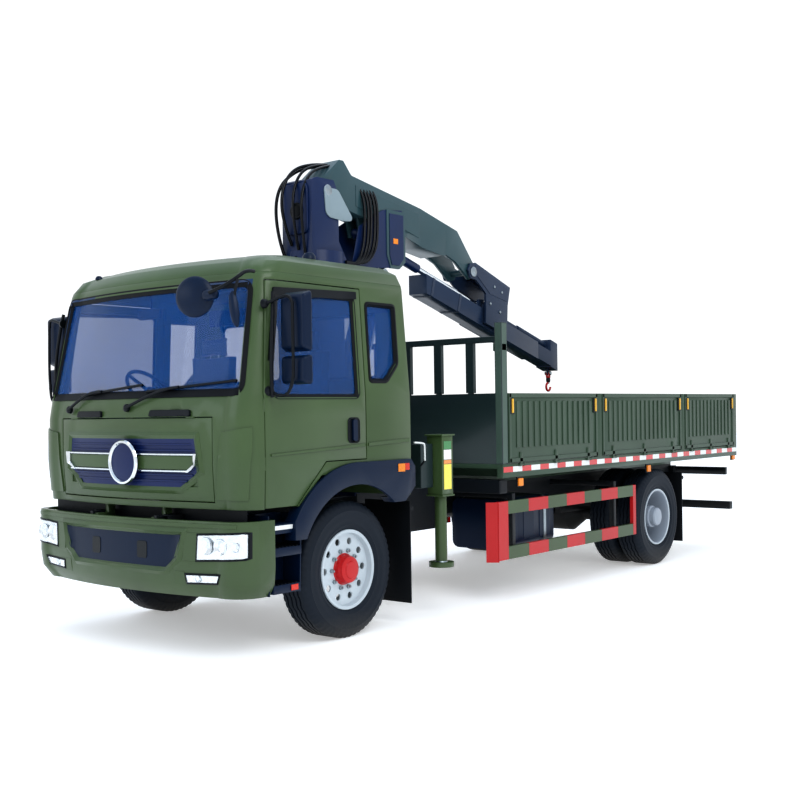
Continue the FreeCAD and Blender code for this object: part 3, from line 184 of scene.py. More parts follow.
def tintedGlass(name, hexColour, alpha, roughness=0.02, coat=0.25, specular=0.3):
    # laminated sheet glass with a blue tint; thin, so it is drawn see-through and not as a solid lens
    material, tree, shader, place = startMaterial(name, Roughness=roughness, IOR=1.5, Alpha=alpha, Coat_Weight=coat,
                                                  Coat_Roughness=0.01, Specular_IOR_Level=specular)
    wave = addNode(tree, "TexNoise", inputs={"Vector": place, "Scale": 1.2, "Detail": 1.0})
    fillInputs(tree, shader, {"Base Color": addNode(tree, "ValToRGB", {"stops": [
        (0.3, toLinear(hexColour, 0.8)), (0.7, toLinear(hexColour))]}, {"Fac": wave})})
    return material


def reflectiveTape(name, hexColour):
    # retroreflective film: tiny glass beads under a clear skin, honeycomb cells of about 6 mm
    material, tree, shader, place = startMaterial(name, Roughness=0.25, Coat_Weight=0.6)
    cells = addNode(tree, "TexVoronoi", {"feature": "DISTANCE_TO_EDGE"}, {"Vector": place, "Scale": 1 / 0.006},
                    "Distance")
    fillInputs(tree, shader, {"Base Color": addNode(tree, "ValToRGB", {"stops": [
        (0.0, toLinear(hexColour, 0.75)), (0.12, toLinear(hexColour))]}, {"Fac": cells})})
    return material


def wovenCloth(name, hexColour):
    # flat-woven polyester seat cloth, threads 2 mm apart, drawn three times as coarse so that they show
    material, tree, shader, place = startMaterial(name, Roughness=0.85, Sheen_Weight=0.3)
    threads = [addNode(tree, "TexWave", {"bands_direction": way}, {"Vector": place, "Scale": 1 / 0.006,
                                                                   "Distortion": 0.5}, "Fac") for way in "XZ"]
    both = addNode(tree, "Math", {"operation": "MULTIPLY"}, dict(enumerate(threads)))
    tone = addNode(tree, "ValToRGB", {"stops": [(0.0, toLinear(hexColour, 0.6)), (0.8, toLinear(hexColour))]},
                   {"Fac": both})
    fillInputs(tree, shader, {"Base Color": tone, "Normal": addNode(tree, "Bump", inputs={
        "Strength": 0.3, "Distance": 0.001, "Height": both})})
    return material


greenEnamel = sprayedPaint("greenEnamel", "#3d5030", grime=0.25)
cabEnamel = sprayedPaint("cabEnamel", "#3d5030", grime=0.25, lining="#0c2f55")
bedEnamel = sprayedPaint("bedEnamel", "#37493a", roughness=0.42, coat=0.2)
postEnamel = sprayedPaint("postEnamel", "#46584f", roughness=0.4, coat=0.2)
# dark rack enamel: the rack's own dark green, darkened further as painted shade for the headboard's shaded front face
rackEnamelAndShade = sprayedPaint("rackEnamelAndShade", "#1f2d2e", roughness=0.4, coat=0.2)
craneEnamel = sprayedPaint("craneEnamel", "#1c2d45", roughness=0.4, coat=0.2)
columnEnamel = sprayedPaint("columnEnamel", "#062048", roughness=0.42, coat=0.15)
boomEnamel = sprayedPaint("boomEnamel", "#2c474d", roughness=0.36, coat=0.35)
castingEnamel = sprayedPaint("castingEnamel", "#7f8f96", roughness=0.4, shade=0.16)
grilleEnamel = sprayedPaint("grilleEnamel", "#051c4c", roughness=0.4, coat=0.15)
frameEnamel = sprayedPaint("frameEnamel", "#0a1118", roughness=0.5, coat=0.1, grime=0.4)
redEnamel = sprayedPaint("redEnamel", "#b01216", roughness=0.34, shade=0.06)
yellowEnamel = sprayedPaint("yellowEnamel", "#d8a83a", roughness=0.4, shade=0.05)
wheelEnamel = sprayedPaint("wheelEnamel", "#b4bec4", roughness=0.3, coat=0.5, shade=0.05)
rearWheelEnamel = sprayedPaint("rearWheelEnamel", "#9098a2", roughness=0.38, coat=0.3, shade=0.08)
blackPlastic = mouldedPlastic("blackPlastic", "#070d14", roughness=0.42)
navyPlastic = mouldedPlastic("navyPlastic", "#051a33", roughness=0.36, bump=0.15)
dashPlastic = mouldedPlastic("dashPlastic", "#1a3350", roughness=0.6)
blackRubber = vulcanisedRubber("blackRubber", "#070b10")
tyreRubber = vulcanisedRubber("tyreRubber", "#141c26")
chromePlate = platedMetal("chromePlate", "#dfe4e8")
zincSteel = platedMetal("zincSteel", "#9aa3a8", roughness=0.35, brushed=0.3)
screenGlass = tintedGlass("screenGlass", "#0b57a4", 0.30)
doorGlass = tintedGlass("doorGlass", "#0c4a8a", 0.45)
lampGlass = tintedGlass("lampGlass", "#dfe8ee", 0.10, coat=1.0, specular=0.5)
lampBowl = platedMetal("lampBowl", "#f4f7f8", roughness=0.12, brushed=0.6)
hoseRubber = mouldedPlastic("hoseRubber", "#0a0d12", roughness=0.14, grain=0.01, bump=0.08)
amberLens = tintedGlass("amberLens", "#f08a1c", 0.95, 0.2)
redLens = tintedGlass("redLens", "#d8301c", 0.95, 0.2)
mirrorFilm = platedMetal("mirrorFilm", "#c9d2da", roughness=0.03)
whiteTape = reflectiveTape("whiteTape", "#dfe2e0")
redTape = reflectiveTape("redTape", "#c8201f")
labelGreen = reflectiveTape("labelGreen", "#2c7a3c")
labelWhite = reflectiveTape("labelWhite", "#e4e6e2")
labelYellow = reflectiveTape("labelYellow", "#e8d84a")
labelOrange = reflectiveTape("labelOrange", "#e08a3c")
seatCloth = wovenCloth("seatCloth", "#2c4f78")

# ------- mesh helpers: every piece is a mesh built here, with its edges rounded

def finishMesh(item, material, body, edge=0.004, smooth=35, segments=2):
    for face in item.data.polygons:
        face.use_smooth = True
    if material is not None:
        item.data.materials.clear()
        item.data.materials.append(material)
    if edge:
        rounding = item.modifiers.new("edges", "BEVEL")
        rounding.width = edge
        rounding.segments = segments
        rounding.limit_method = "ANGLE"
        rounding.angle_limit = math.radians(smooth)
        rounding.harden_normals = True
        rounding.use_clamp_overlap = True
    else:
        item.data.set_sharp_from_angle(angle=math.radians(smooth))
    if body:
        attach(item, body)
    return item


def fromBmesh(name, mesh):
    data = bpy.data.meshes.new(name)
    bmesh.ops.recalc_face_normals(mesh, faces=mesh.faces)
    mesh.to_mesh(data)
    mesh.free()
    item = bpy.data.objects.new(name, data)
    bpy.context.scene.collection.objects.link(item)
    return item


def blocks(name, boxes, material, body, edge=0.004, sign=1):
    # one piece out of several blocks, each given by two opposite corners; a sign of -1 mirrors it
    mesh = bmesh.new()
    for box in boxes:
        low, high = zip(*(sorted(pair) for pair in zip(*((x * sign, y, z) for x, y, z in box))))
        for vert in bmesh.ops.create_cube(mesh, size=1.0)["verts"]:
            vert.co = Vector([l + (c + 0.5) * (h - l) for c, l, h in zip(vert.co, low, high)])
    return finishMesh(fromBmesh(name, mesh), material, body, edge)


def sidePair(parts, body):
    # one-block pieces on both sides: a name, two corners on the left, the material and the rounding
    for name, low, high, material, edge in parts:
        for side, sign in sides:
            blocks(f"{name}_{side}", [(low, high)], material, body.format(side), edge, sign)


def plate(name, outline, axis, low, high, material, body, edge=0.003, sign=1):
    # an outline of two coordinates, pushed out along an axis
    mesh = bmesh.new()
    if axis == "X":
        low, high = sorted((low * sign, high * sign))
    else:
        outline = [(a * sign, b) for a, b in outline]
    order = {"X": lambda a, b, d: (d, a, b), "Y": lambda a, b, d: (a, d, b), "Z": lambda a, b, d: (a, b, d)}[axis]
    foot, top = ([mesh.verts.new(order(a, b, d)) for a, b in outline] for d in (low, high))
    mesh.faces.new(foot)
    mesh.faces.new(list(reversed(top)))
    joinRings(mesh, foot, top)
    return finishMesh(fromBmesh(name, mesh), material, body, edge)


def joinRings(mesh, first, second):
    for k in range(len(first)):
        n = (k + 1) % len(first)
        mesh.faces.new((first[k], first[n], second[n], second[k]))


def turned(name, profile, centre, direction, material, body, steps=48, sign=1):
    # a profile of (along, radius) points turned about a line
    mesh = bmesh.new()
    centre, direction = (Vector((v[0] * sign, v[1], v[2])) for v in (centre, direction))
    turn = Vector((0, 0, 1)).rotation_difference(direction).to_matrix()
    rings = []
    for along, radius in profile:
        angles = [2 * math.pi * k / steps for k in range(steps)]
        rings.append([mesh.verts.new(turn @ Vector((radius * math.cos(a), radius * math.sin(a), along)) + centre)
                      for a in angles])
    for first, second in zip(rings, rings[1:]):
        joinRings(mesh, first, second)
    if profile[-1][1] > 0.004:
        # a ring: its profile closes on itself instead of being capped
        joinRings(mesh, rings[-1], rings[0])
    else:
        mesh.faces.new(rings[0])
        mesh.faces.new(rings[-1])
    return finishMesh(fromBmesh(name, mesh), material, body, 0)


def bar(name, points, radius, material, body, sign=1):
    # a bent round bar, pipe or hose through the points
    curve = bpy.data.curves.new(name, "CURVE")
    curve.dimensions = "3D"
    curve.bevel_depth = radius
    curve.bevel_resolution = 5
    curve.resolution_u = 8
    curve.use_fill_caps = True
    spline = curve.splines.new("NURBS")
    spline.points.add(len(points) - 1)
    for target, (x, y, z) in zip(spline.points, points):
        target.co = (x * sign, y, z, 1)
    spline.order_u = 3
    spline.use_endpoint_u = True
    item = bpy.data.objects.new(name, curve)
    bpy.context.scene.collection.objects.link(item)
    curve.materials.append(material)
    if body:
        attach(item, body)
    return item


def rounded(outline, radius, steps=4):
    # the outline with each corner turned into an arc of about that radius
    result = []
    count = len(outline)
    for i in range(count):
        before, here, after = (Vector(outline[j % count]) for j in (i - 1, i, i + 1))
        reach = min(radius, (before - here).length * 0.45, (after - here).length * 0.45)
        start = here + (before - here).normalized() * reach
        end = here + (after - here).normalized() * reach
        for k in range(steps + 1):
            t = k / steps
            result.append(tuple(start * (1 - t) ** 2 + here * 2 * t * (1 - t) + end * t * t))
    return result


def grown(outline, distance):
    # the outline moved outwards by a distance
    count = len(outline)
    area = sum(outline[i][0] * outline[(i + 1) % count][1] - outline[(i + 1) % count][0] * outline[i][1]
               for i in range(count))
    sign = 1 if area > 0 else -1
    moved = []
    for i in range(count):
        before, here, after = (Vector(outline[j % count]) for j in (i - 1, i, i + 1))
        into = (here - before).normalized()
        out = (after - here).normalized()
        middle = Vector((into.y + out.y, -into.x - out.x)) * sign
        size = middle.length_squared
        moved.append(tuple(here + middle * (2 * distance / size if size > 0.4 else distance)))
    return moved


def surfaceOf(*names):
    # the CAD surfaces that thin pieces are laid on
    mesh = bmesh.new()
    for name in names:
        mesh.from_mesh(nodes[name].data)
    tree = BVHTree.FromBMesh(mesh)
    mesh.free()
    return tree


looks = {
    "front": (lambda u, v: Vector((u, -6, v)), Vector((0, 1, 0))),
    "left": (lambda u, v: Vector((3, u, v)), Vector((-1, 0, 0))),
    "right": (lambda u, v: Vector((-3, u, v)), Vector((1, 0, 0))),
    "rear": (lambda u, v: Vector((u, 6, v)), Vector((0, -1, 0))),
    "cabRear": (lambda u, v: Vector((u, -2.0, v)), Vector((0, -1, 0))),
    "top": (lambda u, v: Vector((u, v, 5)), Vector((0, 0, -1))),
}


def onSkin(tree, side, u, v, lift=0.0):
    start, way = looks[side]
    spot, normal, index, distance = tree.ray_cast(start(u, v), way)
    if spot is None:
        return None
    if normal.dot(way) > 0:
        normal = -normal
    spot = spot + normal * lift
    spot.y = max(spot.y, cadBox[0][1] + 0.0002)
    return spot


def layOn(name, tree, side, outline, lift, material, body, step=0.06, edge=0.0015, sink=0.003, sign=1):
    # a thin panel cut to an outline and laid on the skin: lift is how far it stands proud
    mesh = bmesh.new()
    outline = [(u * sign, v) for u, v in outline]
    verts = [mesh.verts.new((u, v, 0)) for u, v in outline]
    mesh.faces.new(verts)
    for axis in (0, 1):
        low = min(p[axis] for p in outline)
        high = max(p[axis] for p in outline)
        count = int((high - low) / step)
        for k in range(1, count + 1):
            place = low + (high - low) * k / (count + 1)
            normal = Vector((1, 0, 0)) if axis == 0 else Vector((0, 1, 0))
            bmesh.ops.bisect_plane(mesh, geom=mesh.verts[:] + mesh.edges[:] + mesh.faces[:], plane_co=normal * place,
                                   plane_no=normal)
    outer = {}
    inner = {}
    for vert in list(mesh.verts):
        u, v = vert.co.x, vert.co.y
        spot = onSkin(tree, side, u, v, lift)
        if spot is None:
            spot = onSkin(tree, side, u * 0.995, v, lift) or looks[side][0](u, v) + looks[side][1] * 1.9
        outer[vert] = spot
        inner[vert] = onSkin(tree, side, u, v, -sink) or spot + looks[side][1] * sink
    solid = bmesh.new()
    top = {vert: solid.verts.new(spot) for vert, spot in outer.items()}
    foot = {vert: solid.verts.new(spot) for vert, spot in inner.items()}
    for face in mesh.faces:
        solid.faces.new([top[v] for v in face.verts])
        solid.faces.new([foot[v] for v in reversed(face.verts)])
    for rim in mesh.edges:
        if len(rim.link_faces) == 1:
            a, b = rim.verts
            solid.faces.new((top[a], top[b], foot[b], foot[a]))
    mesh.free()
    return finishMesh(fromBmesh(name, solid), material, body, edge, 50, 1)


def bandOn(name, tree, side, inner, outer, innerLift, outerLift, material, body, sink=0.004, crown=0.0, edge=0.0):
    # a frame between two outlines of as many points, each with its own height over the skin
    mesh = bmesh.new()
    rings = []
    middle = [((a[0] + b[0]) / 2, (a[1] + b[1]) / 2) for a, b in zip(inner, outer)]
    rows = [(inner, -sink), (inner, innerLift)]
    if crown:
        rows.append((middle, max(innerLift, outerLift) + crown))
    rows += [(outer, outerLift), (outer, -sink)]
    for outline, lift in rows:
        ring = []
        for u, v in outline:
            spot = onSkin(tree, side, u, v, lift)
            if spot is None:
                spot = onSkin(tree, side, u * 0.99, v, lift) or looks[side][0](u, v) + looks[side][1] * 1.9
            ring.append(mesh.verts.new(spot))
        rings.append(ring)
    count = len(inner)
    for first, second in zip(rings, rings[1:] + rings[:1]):
        for k in range(count):
            n = (k + 1) % count
            try:
                mesh.faces.new((first[k], first[n], second[n], second[k]))
            except ValueError:
                pass
    return finishMesh(fromBmesh(name, mesh), material, body, edge, 30)


def evenly(outline, step):
    # more points along the outline's straight runs, so that it can follow a bowed skin
    result = []
    for a, b in zip(outline, outline[1:] + outline[:1]):
        count = max(1, int(math.dist(a, b) / step))
        for k in range(count):
            t = k / count
            result.append((a[0] + (b[0] - a[0]) * t, a[1] + (b[1] - a[1]) * t))
    return result


# ------- CAD nodes: their own shapes stay, with rounded edges and a real finish

print("frame pieces")
finishes = {
    "chassis_frame": frameEnamel, "front_axle": frameEnamel, "rear_axle": frameEnamel,
    "engine_and_shaft": frameEnamel,
    "fuel_tank": navyPlastic, "battery_and_air_tanks": frameEnamel, "bumper": greenEnamel, "front_lamps": lampBowl,
    # the headboard takes the dark rack enamel as painted shade on its front face
    "steps": navyPlastic, "mudflaps": blackRubber, "bed_deck": bedEnamel, "headboard": rackEnamelAndShade,
    "side_guards": frameEnamel, "rear_bars": frameEnamel, "crane_base": columnEnamel, "cab_shell": cabEnamel,
    "cab_roof": cabEnamel, "cab_windows": screenGlass, "arch_flares": navyPlastic, "seats": seatCloth,
    "dashboard": dashPlastic, "front_mirrors": blackPlastic, "front_flap": greenEnamel, "crane_column": columnEnamel,
    "inner_boom": boomEnamel, "outer_boom": craneEnamel, "boom_extension": craneEnamel, "hook": redEnamel,
    "lift_barrels": columnEnamel, "lift_rods": chromePlate, "fold_barrel": columnEnamel, "fold_rod": chromePlate,
    "steering_wheel": blackPlastic, "tailgate": bedEnamel,
}
prefixes = {
    "door_glass": doorGlass, "door": cabEnamel, "mirrors": blackPlastic, "knuckle": frameEnamel, "tyre": tyreRubber,
    "rims_rear": rearWheelEnamel, "rim_front": wheelEnamel, "gate": bedEnamel, "stabiliser_beam": greenEnamel,
    "stabiliser_leg": greenEnamel,
}
for name, item in nodes.items():
    start = max((p for p in prefixes if name.startswith(p)), key=len, default=None)
    material = finishes.get(name) or prefixes.get(start, frameEnamel)
    if not item.material_slots:
        item.data.materials.append(material)
    for slot in item.material_slots:
        slot.material = material
    for face in item.data.polygons:
        face.use_smooth = True
    weld = item.modifiers.new("weld", "WELD")
    weld.merge_threshold = 0.00002
    size = [b - a for a, b in zip(*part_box(name))]
    rounding = item.modifiers.new("edges", "BEVEL")
    rounding.width = 0.0015 if min(size) < 0.05 or "glass" in name or "window" in name else 0.004
    rounding.segments = 2
    rounding.limit_method = "ANGLE"
    rounding.angle_limit = math.radians(32)
    rounding.harden_normals = True

cabSkin = surfaceOf("cab_shell", "front_flap", "door_left", "door_right", "cab_windows", "door_glass_left",
                    "door_glass_right")
flapSkin = surfaceOf("front_flap")
bumperSkin = surfaceOf("bumper", "front_lamps")

# ------- cab: rubbers, grille, wipers and panels

print("cab")
screenOutline = evenly(rounded([(-1.085, 1.822), (1.085, 1.822), (1.035, 2.61), (-1.035, 2.61)],
                               0.085, 6), 0.06)
bandOn("screen_rubber", cabSkin, "front", grown(screenOutline, -0.042), grown(screenOutline, 0.012), 0.004, 0.005,
       blackRubber, "cab", crown=0.008)


def windowRubber(name, outline, side, corner, inside, outside, body, material=blackRubber):
    line = evenly(rounded(outline, corner, 5), 0.06)
    return bandOn(name, cabSkin, side, grown(line, -inside), grown(line, outside), 0.003, 0.004, material, body,
                  crown=0.006)


for side, sign in sides:
    windowRubber(f"quarter_rubber_{side}", [(-2.715, 1.92), (-2.715, 2.51), (-2.37, 2.51), (-2.37, 2.06),
                                            (-2.515, 1.92)], side, 0.03, 0.022, 0.014, "cab")
    windowRubber(f"door_window_rubber_{side}", [(-3.771, 1.87), (-3.681, 2.54), (-2.855, 2.54), (-2.855, 1.80),
                                                (-3.736, 1.80)], side, 0.05, 0.022, 0.014, f"door_{side}")
    x = 0.18 if sign == 1 else -0.9
    windowRubber(f"rear_rubber_{side}", [(x, 1.95), (x + 0.72, 1.95), (x + 0.72, 2.48), (x, 2.48)], "cabRear", 0.08,
                 0.025, 0.02, "cab")
    # rain visor of smoked plastic over the door window
    visor = [(-3.79, 2.05), (-3.70, 2.56), (-2.84, 2.585), (-2.84, 2.53), (-3.655, 2.50), (-3.735, 2.05)]
    layOn(f"rain_visor_{side}", cabSkin, side, visor, 0.022, blackPlastic, f"door_{side}", step=0.08)
    # pressed handle pocket with its grip
    pocket = evenly(rounded([(-2.985, 1.465), (-2.855, 1.465), (-2.855, 1.645), (-2.985, 1.645)], 0.035), 0.05)
    bandOn(f"handle_rim_{side}", cabSkin, side, grown(pocket, -0.012), grown(pocket, 0.006), 0.001, 0.001,
           blackPlastic,
           f"door_{side}", crown=0.006)
    layOn(f"handle_pocket_{side}", cabSkin, side, grown(pocket, -0.006), 0.0015, blackPlastic, f"door_{side}")
    layOn(f"handle_grip_{side}", cabSkin, side, rounded([(-2.945, 1.475), (-2.895, 1.475), (-2.895, 1.635),
                                                          (-2.945, 1.635)], 0.02), 0.018, navyPlastic, f"door_{side}")
    # pressed crease along the door and the cab's side
    layOn(f"door_crease_{side}", cabSkin, side, [(-3.80, 1.395), (-2.80, 1.43), (-2.80, 1.455), (-3.80, 1.41)], 0.010,
          greenEnamel, f"door_{side}", step=0.1, edge=0.002)
    layOn(f"side_crease_{side}", cabSkin, side, [(-2.76, 1.432), (-2.26, 1.45), (-2.26, 1.48), (-2.76, 1.457)],
          0.010, greenEnamel, "cab", step=0.1, edge=0.002)
    # corner deflector beside the flap, with a slot on the far side
    corner = [(0.872, 1.10), (1.12, 1.10), (1.15, 1.45), (1.15, 1.60), (0.93, 1.56)]
    if side == "right":
        slot = [(1.10, 1.20), (1.14, 1.20), (1.15, 1.58), (1.11, 1.58)]
        layOn("corner_slot_right", cabSkin, "front", slot, 0.012, blackPlastic, "cab", step=0.03, sign=sign)
    layOn(f"corner_panel_{side}", cabSkin, "front", evenly(corner, 0.05), 0.011, greenEnamel, "cab", step=0.04,
          edge=0.004, sign=sign)
    # black bar up the windscreen pillar that carries the mirrors
    bar(f"pillar_bar_{side}", [(1.215, -3.80, 1.80), (1.235, -3.83, 1.95), (1.225, -3.80, 2.30),
                               (1.195, -3.76, 2.52)], 0.014, blackPlastic, f"door_{side}", sign)

grille = {"low": 1.18, "high": 1.522, "slats": 8}
grilleShape = [(-0.56, 1.178), (0.56, 1.178), (0.735, 1.30), (0.70, 1.525), (-0.70, 1.525), (-0.735, 1.30)]
layOn("grille_back", flapSkin, "front", grilleShape, 0.002, grilleEnamel, "front_flap", step=0.08)
slatSpace = (grille["high"] - grille["low"]) / grille["slats"]
for k in range(1, grille["slats"]):
    z = grille["low"] + slatSpace * k
    half = min(0.70, 0.56 + (z - 1.178) * 1.3)
    layOn(f"grille_slat_{k}", flapSkin, "front", [(-half, z - 0.006), (half, z - 0.006), (half, z + 0.009),
                                                  (-half, z + 0.009)], 0.013, grilleEnamel, "front_flap", step=0.08,
          edge=0.003)
grilleLine = evenly(grilleShape, 0.06)
bandOn("grille_frame", flapSkin, "front", grown(grilleLine, -0.004), grown(grilleLine, 0.045), 0.002, 0.001,
       greenEnamel, "front_flap", crown=0.014)
for name, bounds in (("upper", ((-0.70, 1.403), (0.70, 1.403), (0.715, 1.418), (-0.70, 1.418))),
                     ("lower", ((-0.70, 1.288), (0.63, 1.288), (0.645, 1.303), (-0.70, 1.303)))):
    layOn(f"chrome_bar_{name}", flapSkin, "front", list(bounds), 0.034, chromePlate, "front_flap", step=0.06,
          edge=0.005)
for side, sign in sides:
    end = [(0.625, 1.288), (0.65, 1.288), (0.725, 1.335), (0.74, 1.418), (0.70, 1.418), (0.70, 1.345), (0.64, 1.303)]
    layOn(f"chrome_end_{side}", flapSkin, "front", end, 0.036, chromePlate, "front_flap", step=0.06, edge=0.005,
          sign=sign)
layOn("chrome_bar_insert", flapSkin, "front", [(-0.66, 1.305), (0.64, 1.305), (0.70, 1.345), (0.70, 1.401),
                                               (-0.70, 1.401), (-0.70, 1.345)], 0.022, greenEnamel, "front_flap",
      step=0.06, edge=0.003)
front = onSkin(flapSkin, "front", 0.0, 1.35, 0.0)
badgeAt = Vector((0.03, front.y - 0.03, 1.35))
turned("badge_ring", [(0.0, 0.138), (0.02, 0.163), (0.032, 0.156), (0.034, 0.142), (0.022, 0.134)], badgeAt,
       (0, -1, 0), chromePlate, "front_flap", 72)
turned("badge_middle", [(0.0, 0.140), (0.018, 0.136), (0.023, 0.11), (0.027, 0.06), (0.028, 0.001)], badgeAt,
       (0, -1, 0), grilleEnamel, "front_flap", 56)
for name, low, high in (("right", -0.597, -0.265), ("left", 0.277, 0.673)):
    cover = rounded([(low, 1.676), (high, 1.676), (high - 0.01, 1.722), (low + 0.01, 1.722)], 0.012)
    layOn(f"flap_hinge_{name}", cabSkin, "front", cover, 0.022, blackPlastic, "cab", step=0.05, edge=0.005)
# wipers: a pivot cap, an arm and a sprung blade each
for name, pivot, elbow, bladeStart, bladeEnd in (
        ("outer", (-0.723, 1.735), (-0.42, 1.865), (-0.62, 1.84), (0.15, 1.905)),
        ("inner", (0.041, 1.74), (0.44, 1.872), (0.20, 1.855), (1.02, 1.915))):
    start = onSkin(cabSkin, "front", *pivot, 0.012)
    middle = onSkin(cabSkin, "front", *elbow, 0.034)
    turned(f"wiper_pivot_{name}", [(0, 0.030), (0.02, 0.028), (0.03, 0.016), (0.032, 0.001)], start, (0, -1, 0.1),
           blackPlastic, "cab", 24)
    ends = [(bladeStart[0] + (bladeEnd[0] - bladeStart[0]) * t, bladeStart[1] + (bladeEnd[1] - bladeStart[1]) * t)
            for t in (0, 0.2, 0.4, 0.6, 0.8, 1)]
    bar(f"wiper_arm_{name}", [start + Vector((0, -0.022, 0)), start.lerp(middle, 0.5) + Vector((0, -0.024, 0.01)),
                              middle, onSkin(cabSkin, "front", *ends[2], 0.026)], 0.011, blackPlastic, "cab")
    bar(f"wiper_blade_{name}", [onSkin(cabSkin, "front", u, v, 0.014) for u, v in ends], 0.010, blackPlastic, "cab")

# roof lamps
roofSkin = surfaceOf("cab_roof")
for name, u, v, size in (("near", 0.93, -3.10, 0.052), ("far", -0.80, -3.70, 0.03)):
    spot = onSkin(roofSkin, "top", u, v, -0.002)
    turned(f"roof_lamp_{name}", [(0.0, size), (size * 0.5, size * 0.95), (size * 0.95, size * 0.6),
                                 (size * 1.1, 0.001)], spot, (0, 0, 1), navyPlastic, "cab", 32)

# ------- bumper: pocket, frame and lamps

print("bumper")
pocketLine = evenly([(-0.50, 0.625), (0.50, 0.625), (0.615, 0.715), (0.65, 0.86), (-0.65, 0.86), (-0.615, 0.715)],
                    0.06)
layOn("bumper_pocket", bumperSkin, "front", pocketLine, 0.002, navyPlastic, "chassis", step=0.06)
bandOn("bumper_frame", bumperSkin, "front", grown(pocketLine, -0.004), grown(pocketLine, 0.05), 0.002, 0.001,
       greenEnamel, "chassis", crown=0.016)
for x in (-0.30, 0.22):
    layOn(f"tow_pocket_{'left' if x > 0 else 'right'}", bumperSkin, "front",
          rounded([(x, 0.68), (x + 0.10, 0.68), (x + 0.10, 0.80), (x, 0.80)], 0.02), 0.006, frameEnamel, "chassis")
layOn("bumper_lip", bumperSkin, "front", [(-1.12, 0.915), (1.12, 0.915), (1.12, 0.945), (-1.12, 0.945)], 0.006,
      greenEnamel, "chassis", step=0.05, edge=0.004)
for side, sign in sides:
    for lampName, line, lens in (
            ("head", [(0.79, 0.69), (1.16, 0.712), (1.176, 0.72), (1.176, 0.885), (1.16, 0.887), (0.80, 0.868)],
             (0.875, 1.00, 1.115)),
            ("fog", [(0.70, 0.530), (0.955, 0.540), (0.985, 0.600), (0.69, 0.592)], (0.80,))):
        shown = evenly([(u * sign, v) for u, v in line], 0.04)
        layOn(f"{lampName}_bowl_{side}", bumperSkin, "front", grown(shown, -0.002), 0.003, lampBowl, "chassis",
              step=0.03)
        layOn(f"{lampName}_lens_{side}", bumperSkin, "front", grown(shown, -0.006), 0.012, lampGlass, "chassis",
              step=0.04, sink=-0.006)
        bandOn(f"{lampName}_surround_{side}", bumperSkin, "front", grown(shown, -0.008), grown(shown, 0.008), 0.002,
               0.002, blackPlastic, "chassis", crown=0.008)
        height = sum(v for u, v in line) / len(line)
        for number, x in enumerate(lens):
            radius = (0.062, 0.056, 0.034)[number] if lampName == "head" else 0.026
            spot = onSkin(bumperSkin, "front", sign * x, height, 0.0)
            turned(f"{lampName}_reflector_{number}_{side}",
                   [(0.0, 0.003), (0.001, radius * 0.3), (0.004, radius * 0.75), (0.009, radius),
                    (0.012, radius * 0.96), (0.006, radius * 0.70), (0.003, radius * 0.28), (0.005, 0.002)],
                   spot + Vector((0, 0.002, 0)), (sign * 0.12 * number, -1, 0), chromePlate, "chassis", 36)
    # green filler between the lamp's inner end and the pocket
    for name, patch in (("lamp", [(0.675, 0.685), (0.785, 0.685), (0.795, 0.88), (0.675, 0.88)]),
                        ("fog", [(0.595, 0.515), (0.69, 0.515), (0.68, 0.61), (0.595, 0.61)])):
        layOn(f"{name}_filler_{side}", bumperSkin, "front", patch, 0.003, greenEnamel, "chassis", step=0.04,
              sign=sign)

# ------- wheels: tyres with zigzag grooves and cut shoulders, nuts and hub caps

print("wheels")
axles = {"height": 0.512, "front": -2.9, "rear": 2.1}
tyreShape = {"tread": 0.096, "steps": 180}
wheelNuts = {"count": 10, "ring": 0.1425}


def tyre(name, middleX, y, body):
    shape = tyreShape
    profile = [(-0.1045, 0.291), (-0.107, 0.303), (-0.118, 0.320), (-0.128, 0.338), (-0.126, 0.345), (-0.134, 0.372),
               (-0.1372, 0.400), (-0.1345, 0.436), (-0.1365, 0.441), (-0.1335, 0.447), (-0.128, 0.470)]
    cuts = [(-0.119, 0.488), (-0.108, 0.502)]
    run = [(-shape["tread"], 0.5118)]
    for place in (-0.062, -0.021, 0.021, 0.062):
        run += [(place - 0.007, 0.5119), (place - 0.005, 0.499), (place + 0.005, 0.499), (place + 0.007, 0.5119)]
    run.append((shape["tread"], 0.5118))
    whole = profile + cuts + run + [(-x, r) for x, r in reversed(cuts)] + [(-x, r) for x, r in reversed(profile)]
    first, last = len(profile), len(profile) + len(cuts) + len(run) + len(cuts)
    mesh = bmesh.new()
    rings = []
    for k in range(shape["steps"]):
        angle = 2 * math.pi * k / shape["steps"]
        zigzag = 0.004 if (k // 3) % 2 else -0.004
        ring = []
        for number, (x, r) in enumerate(whole):
            if first <= number < last:
                inner = len(profile) + len(cuts)
                if number < inner or number >= last - len(cuts):
                    r = r - (0.009 if k % 3 == 0 else 0)
                elif abs(x) < 0.075:
                    x = x + zigzag
                elif k % 3 == 0:
                    r = r - 0.006
            ring.append(mesh.verts.new((middleX + x, y + r * math.cos(angle), axles["height"] + r * math.sin(angle))))
        rings.append(ring)
    for k in range(shape["steps"]):
        here, after = rings[k], rings[(k + 1) % shape["steps"]]
        for j in range(len(whole) - 1):
            mesh.faces.new((here[j], here[j + 1], after[j + 1], after[j]))
    return finishMesh(fromBmesh(name, mesh), tyreRubber, body, 0, 40)


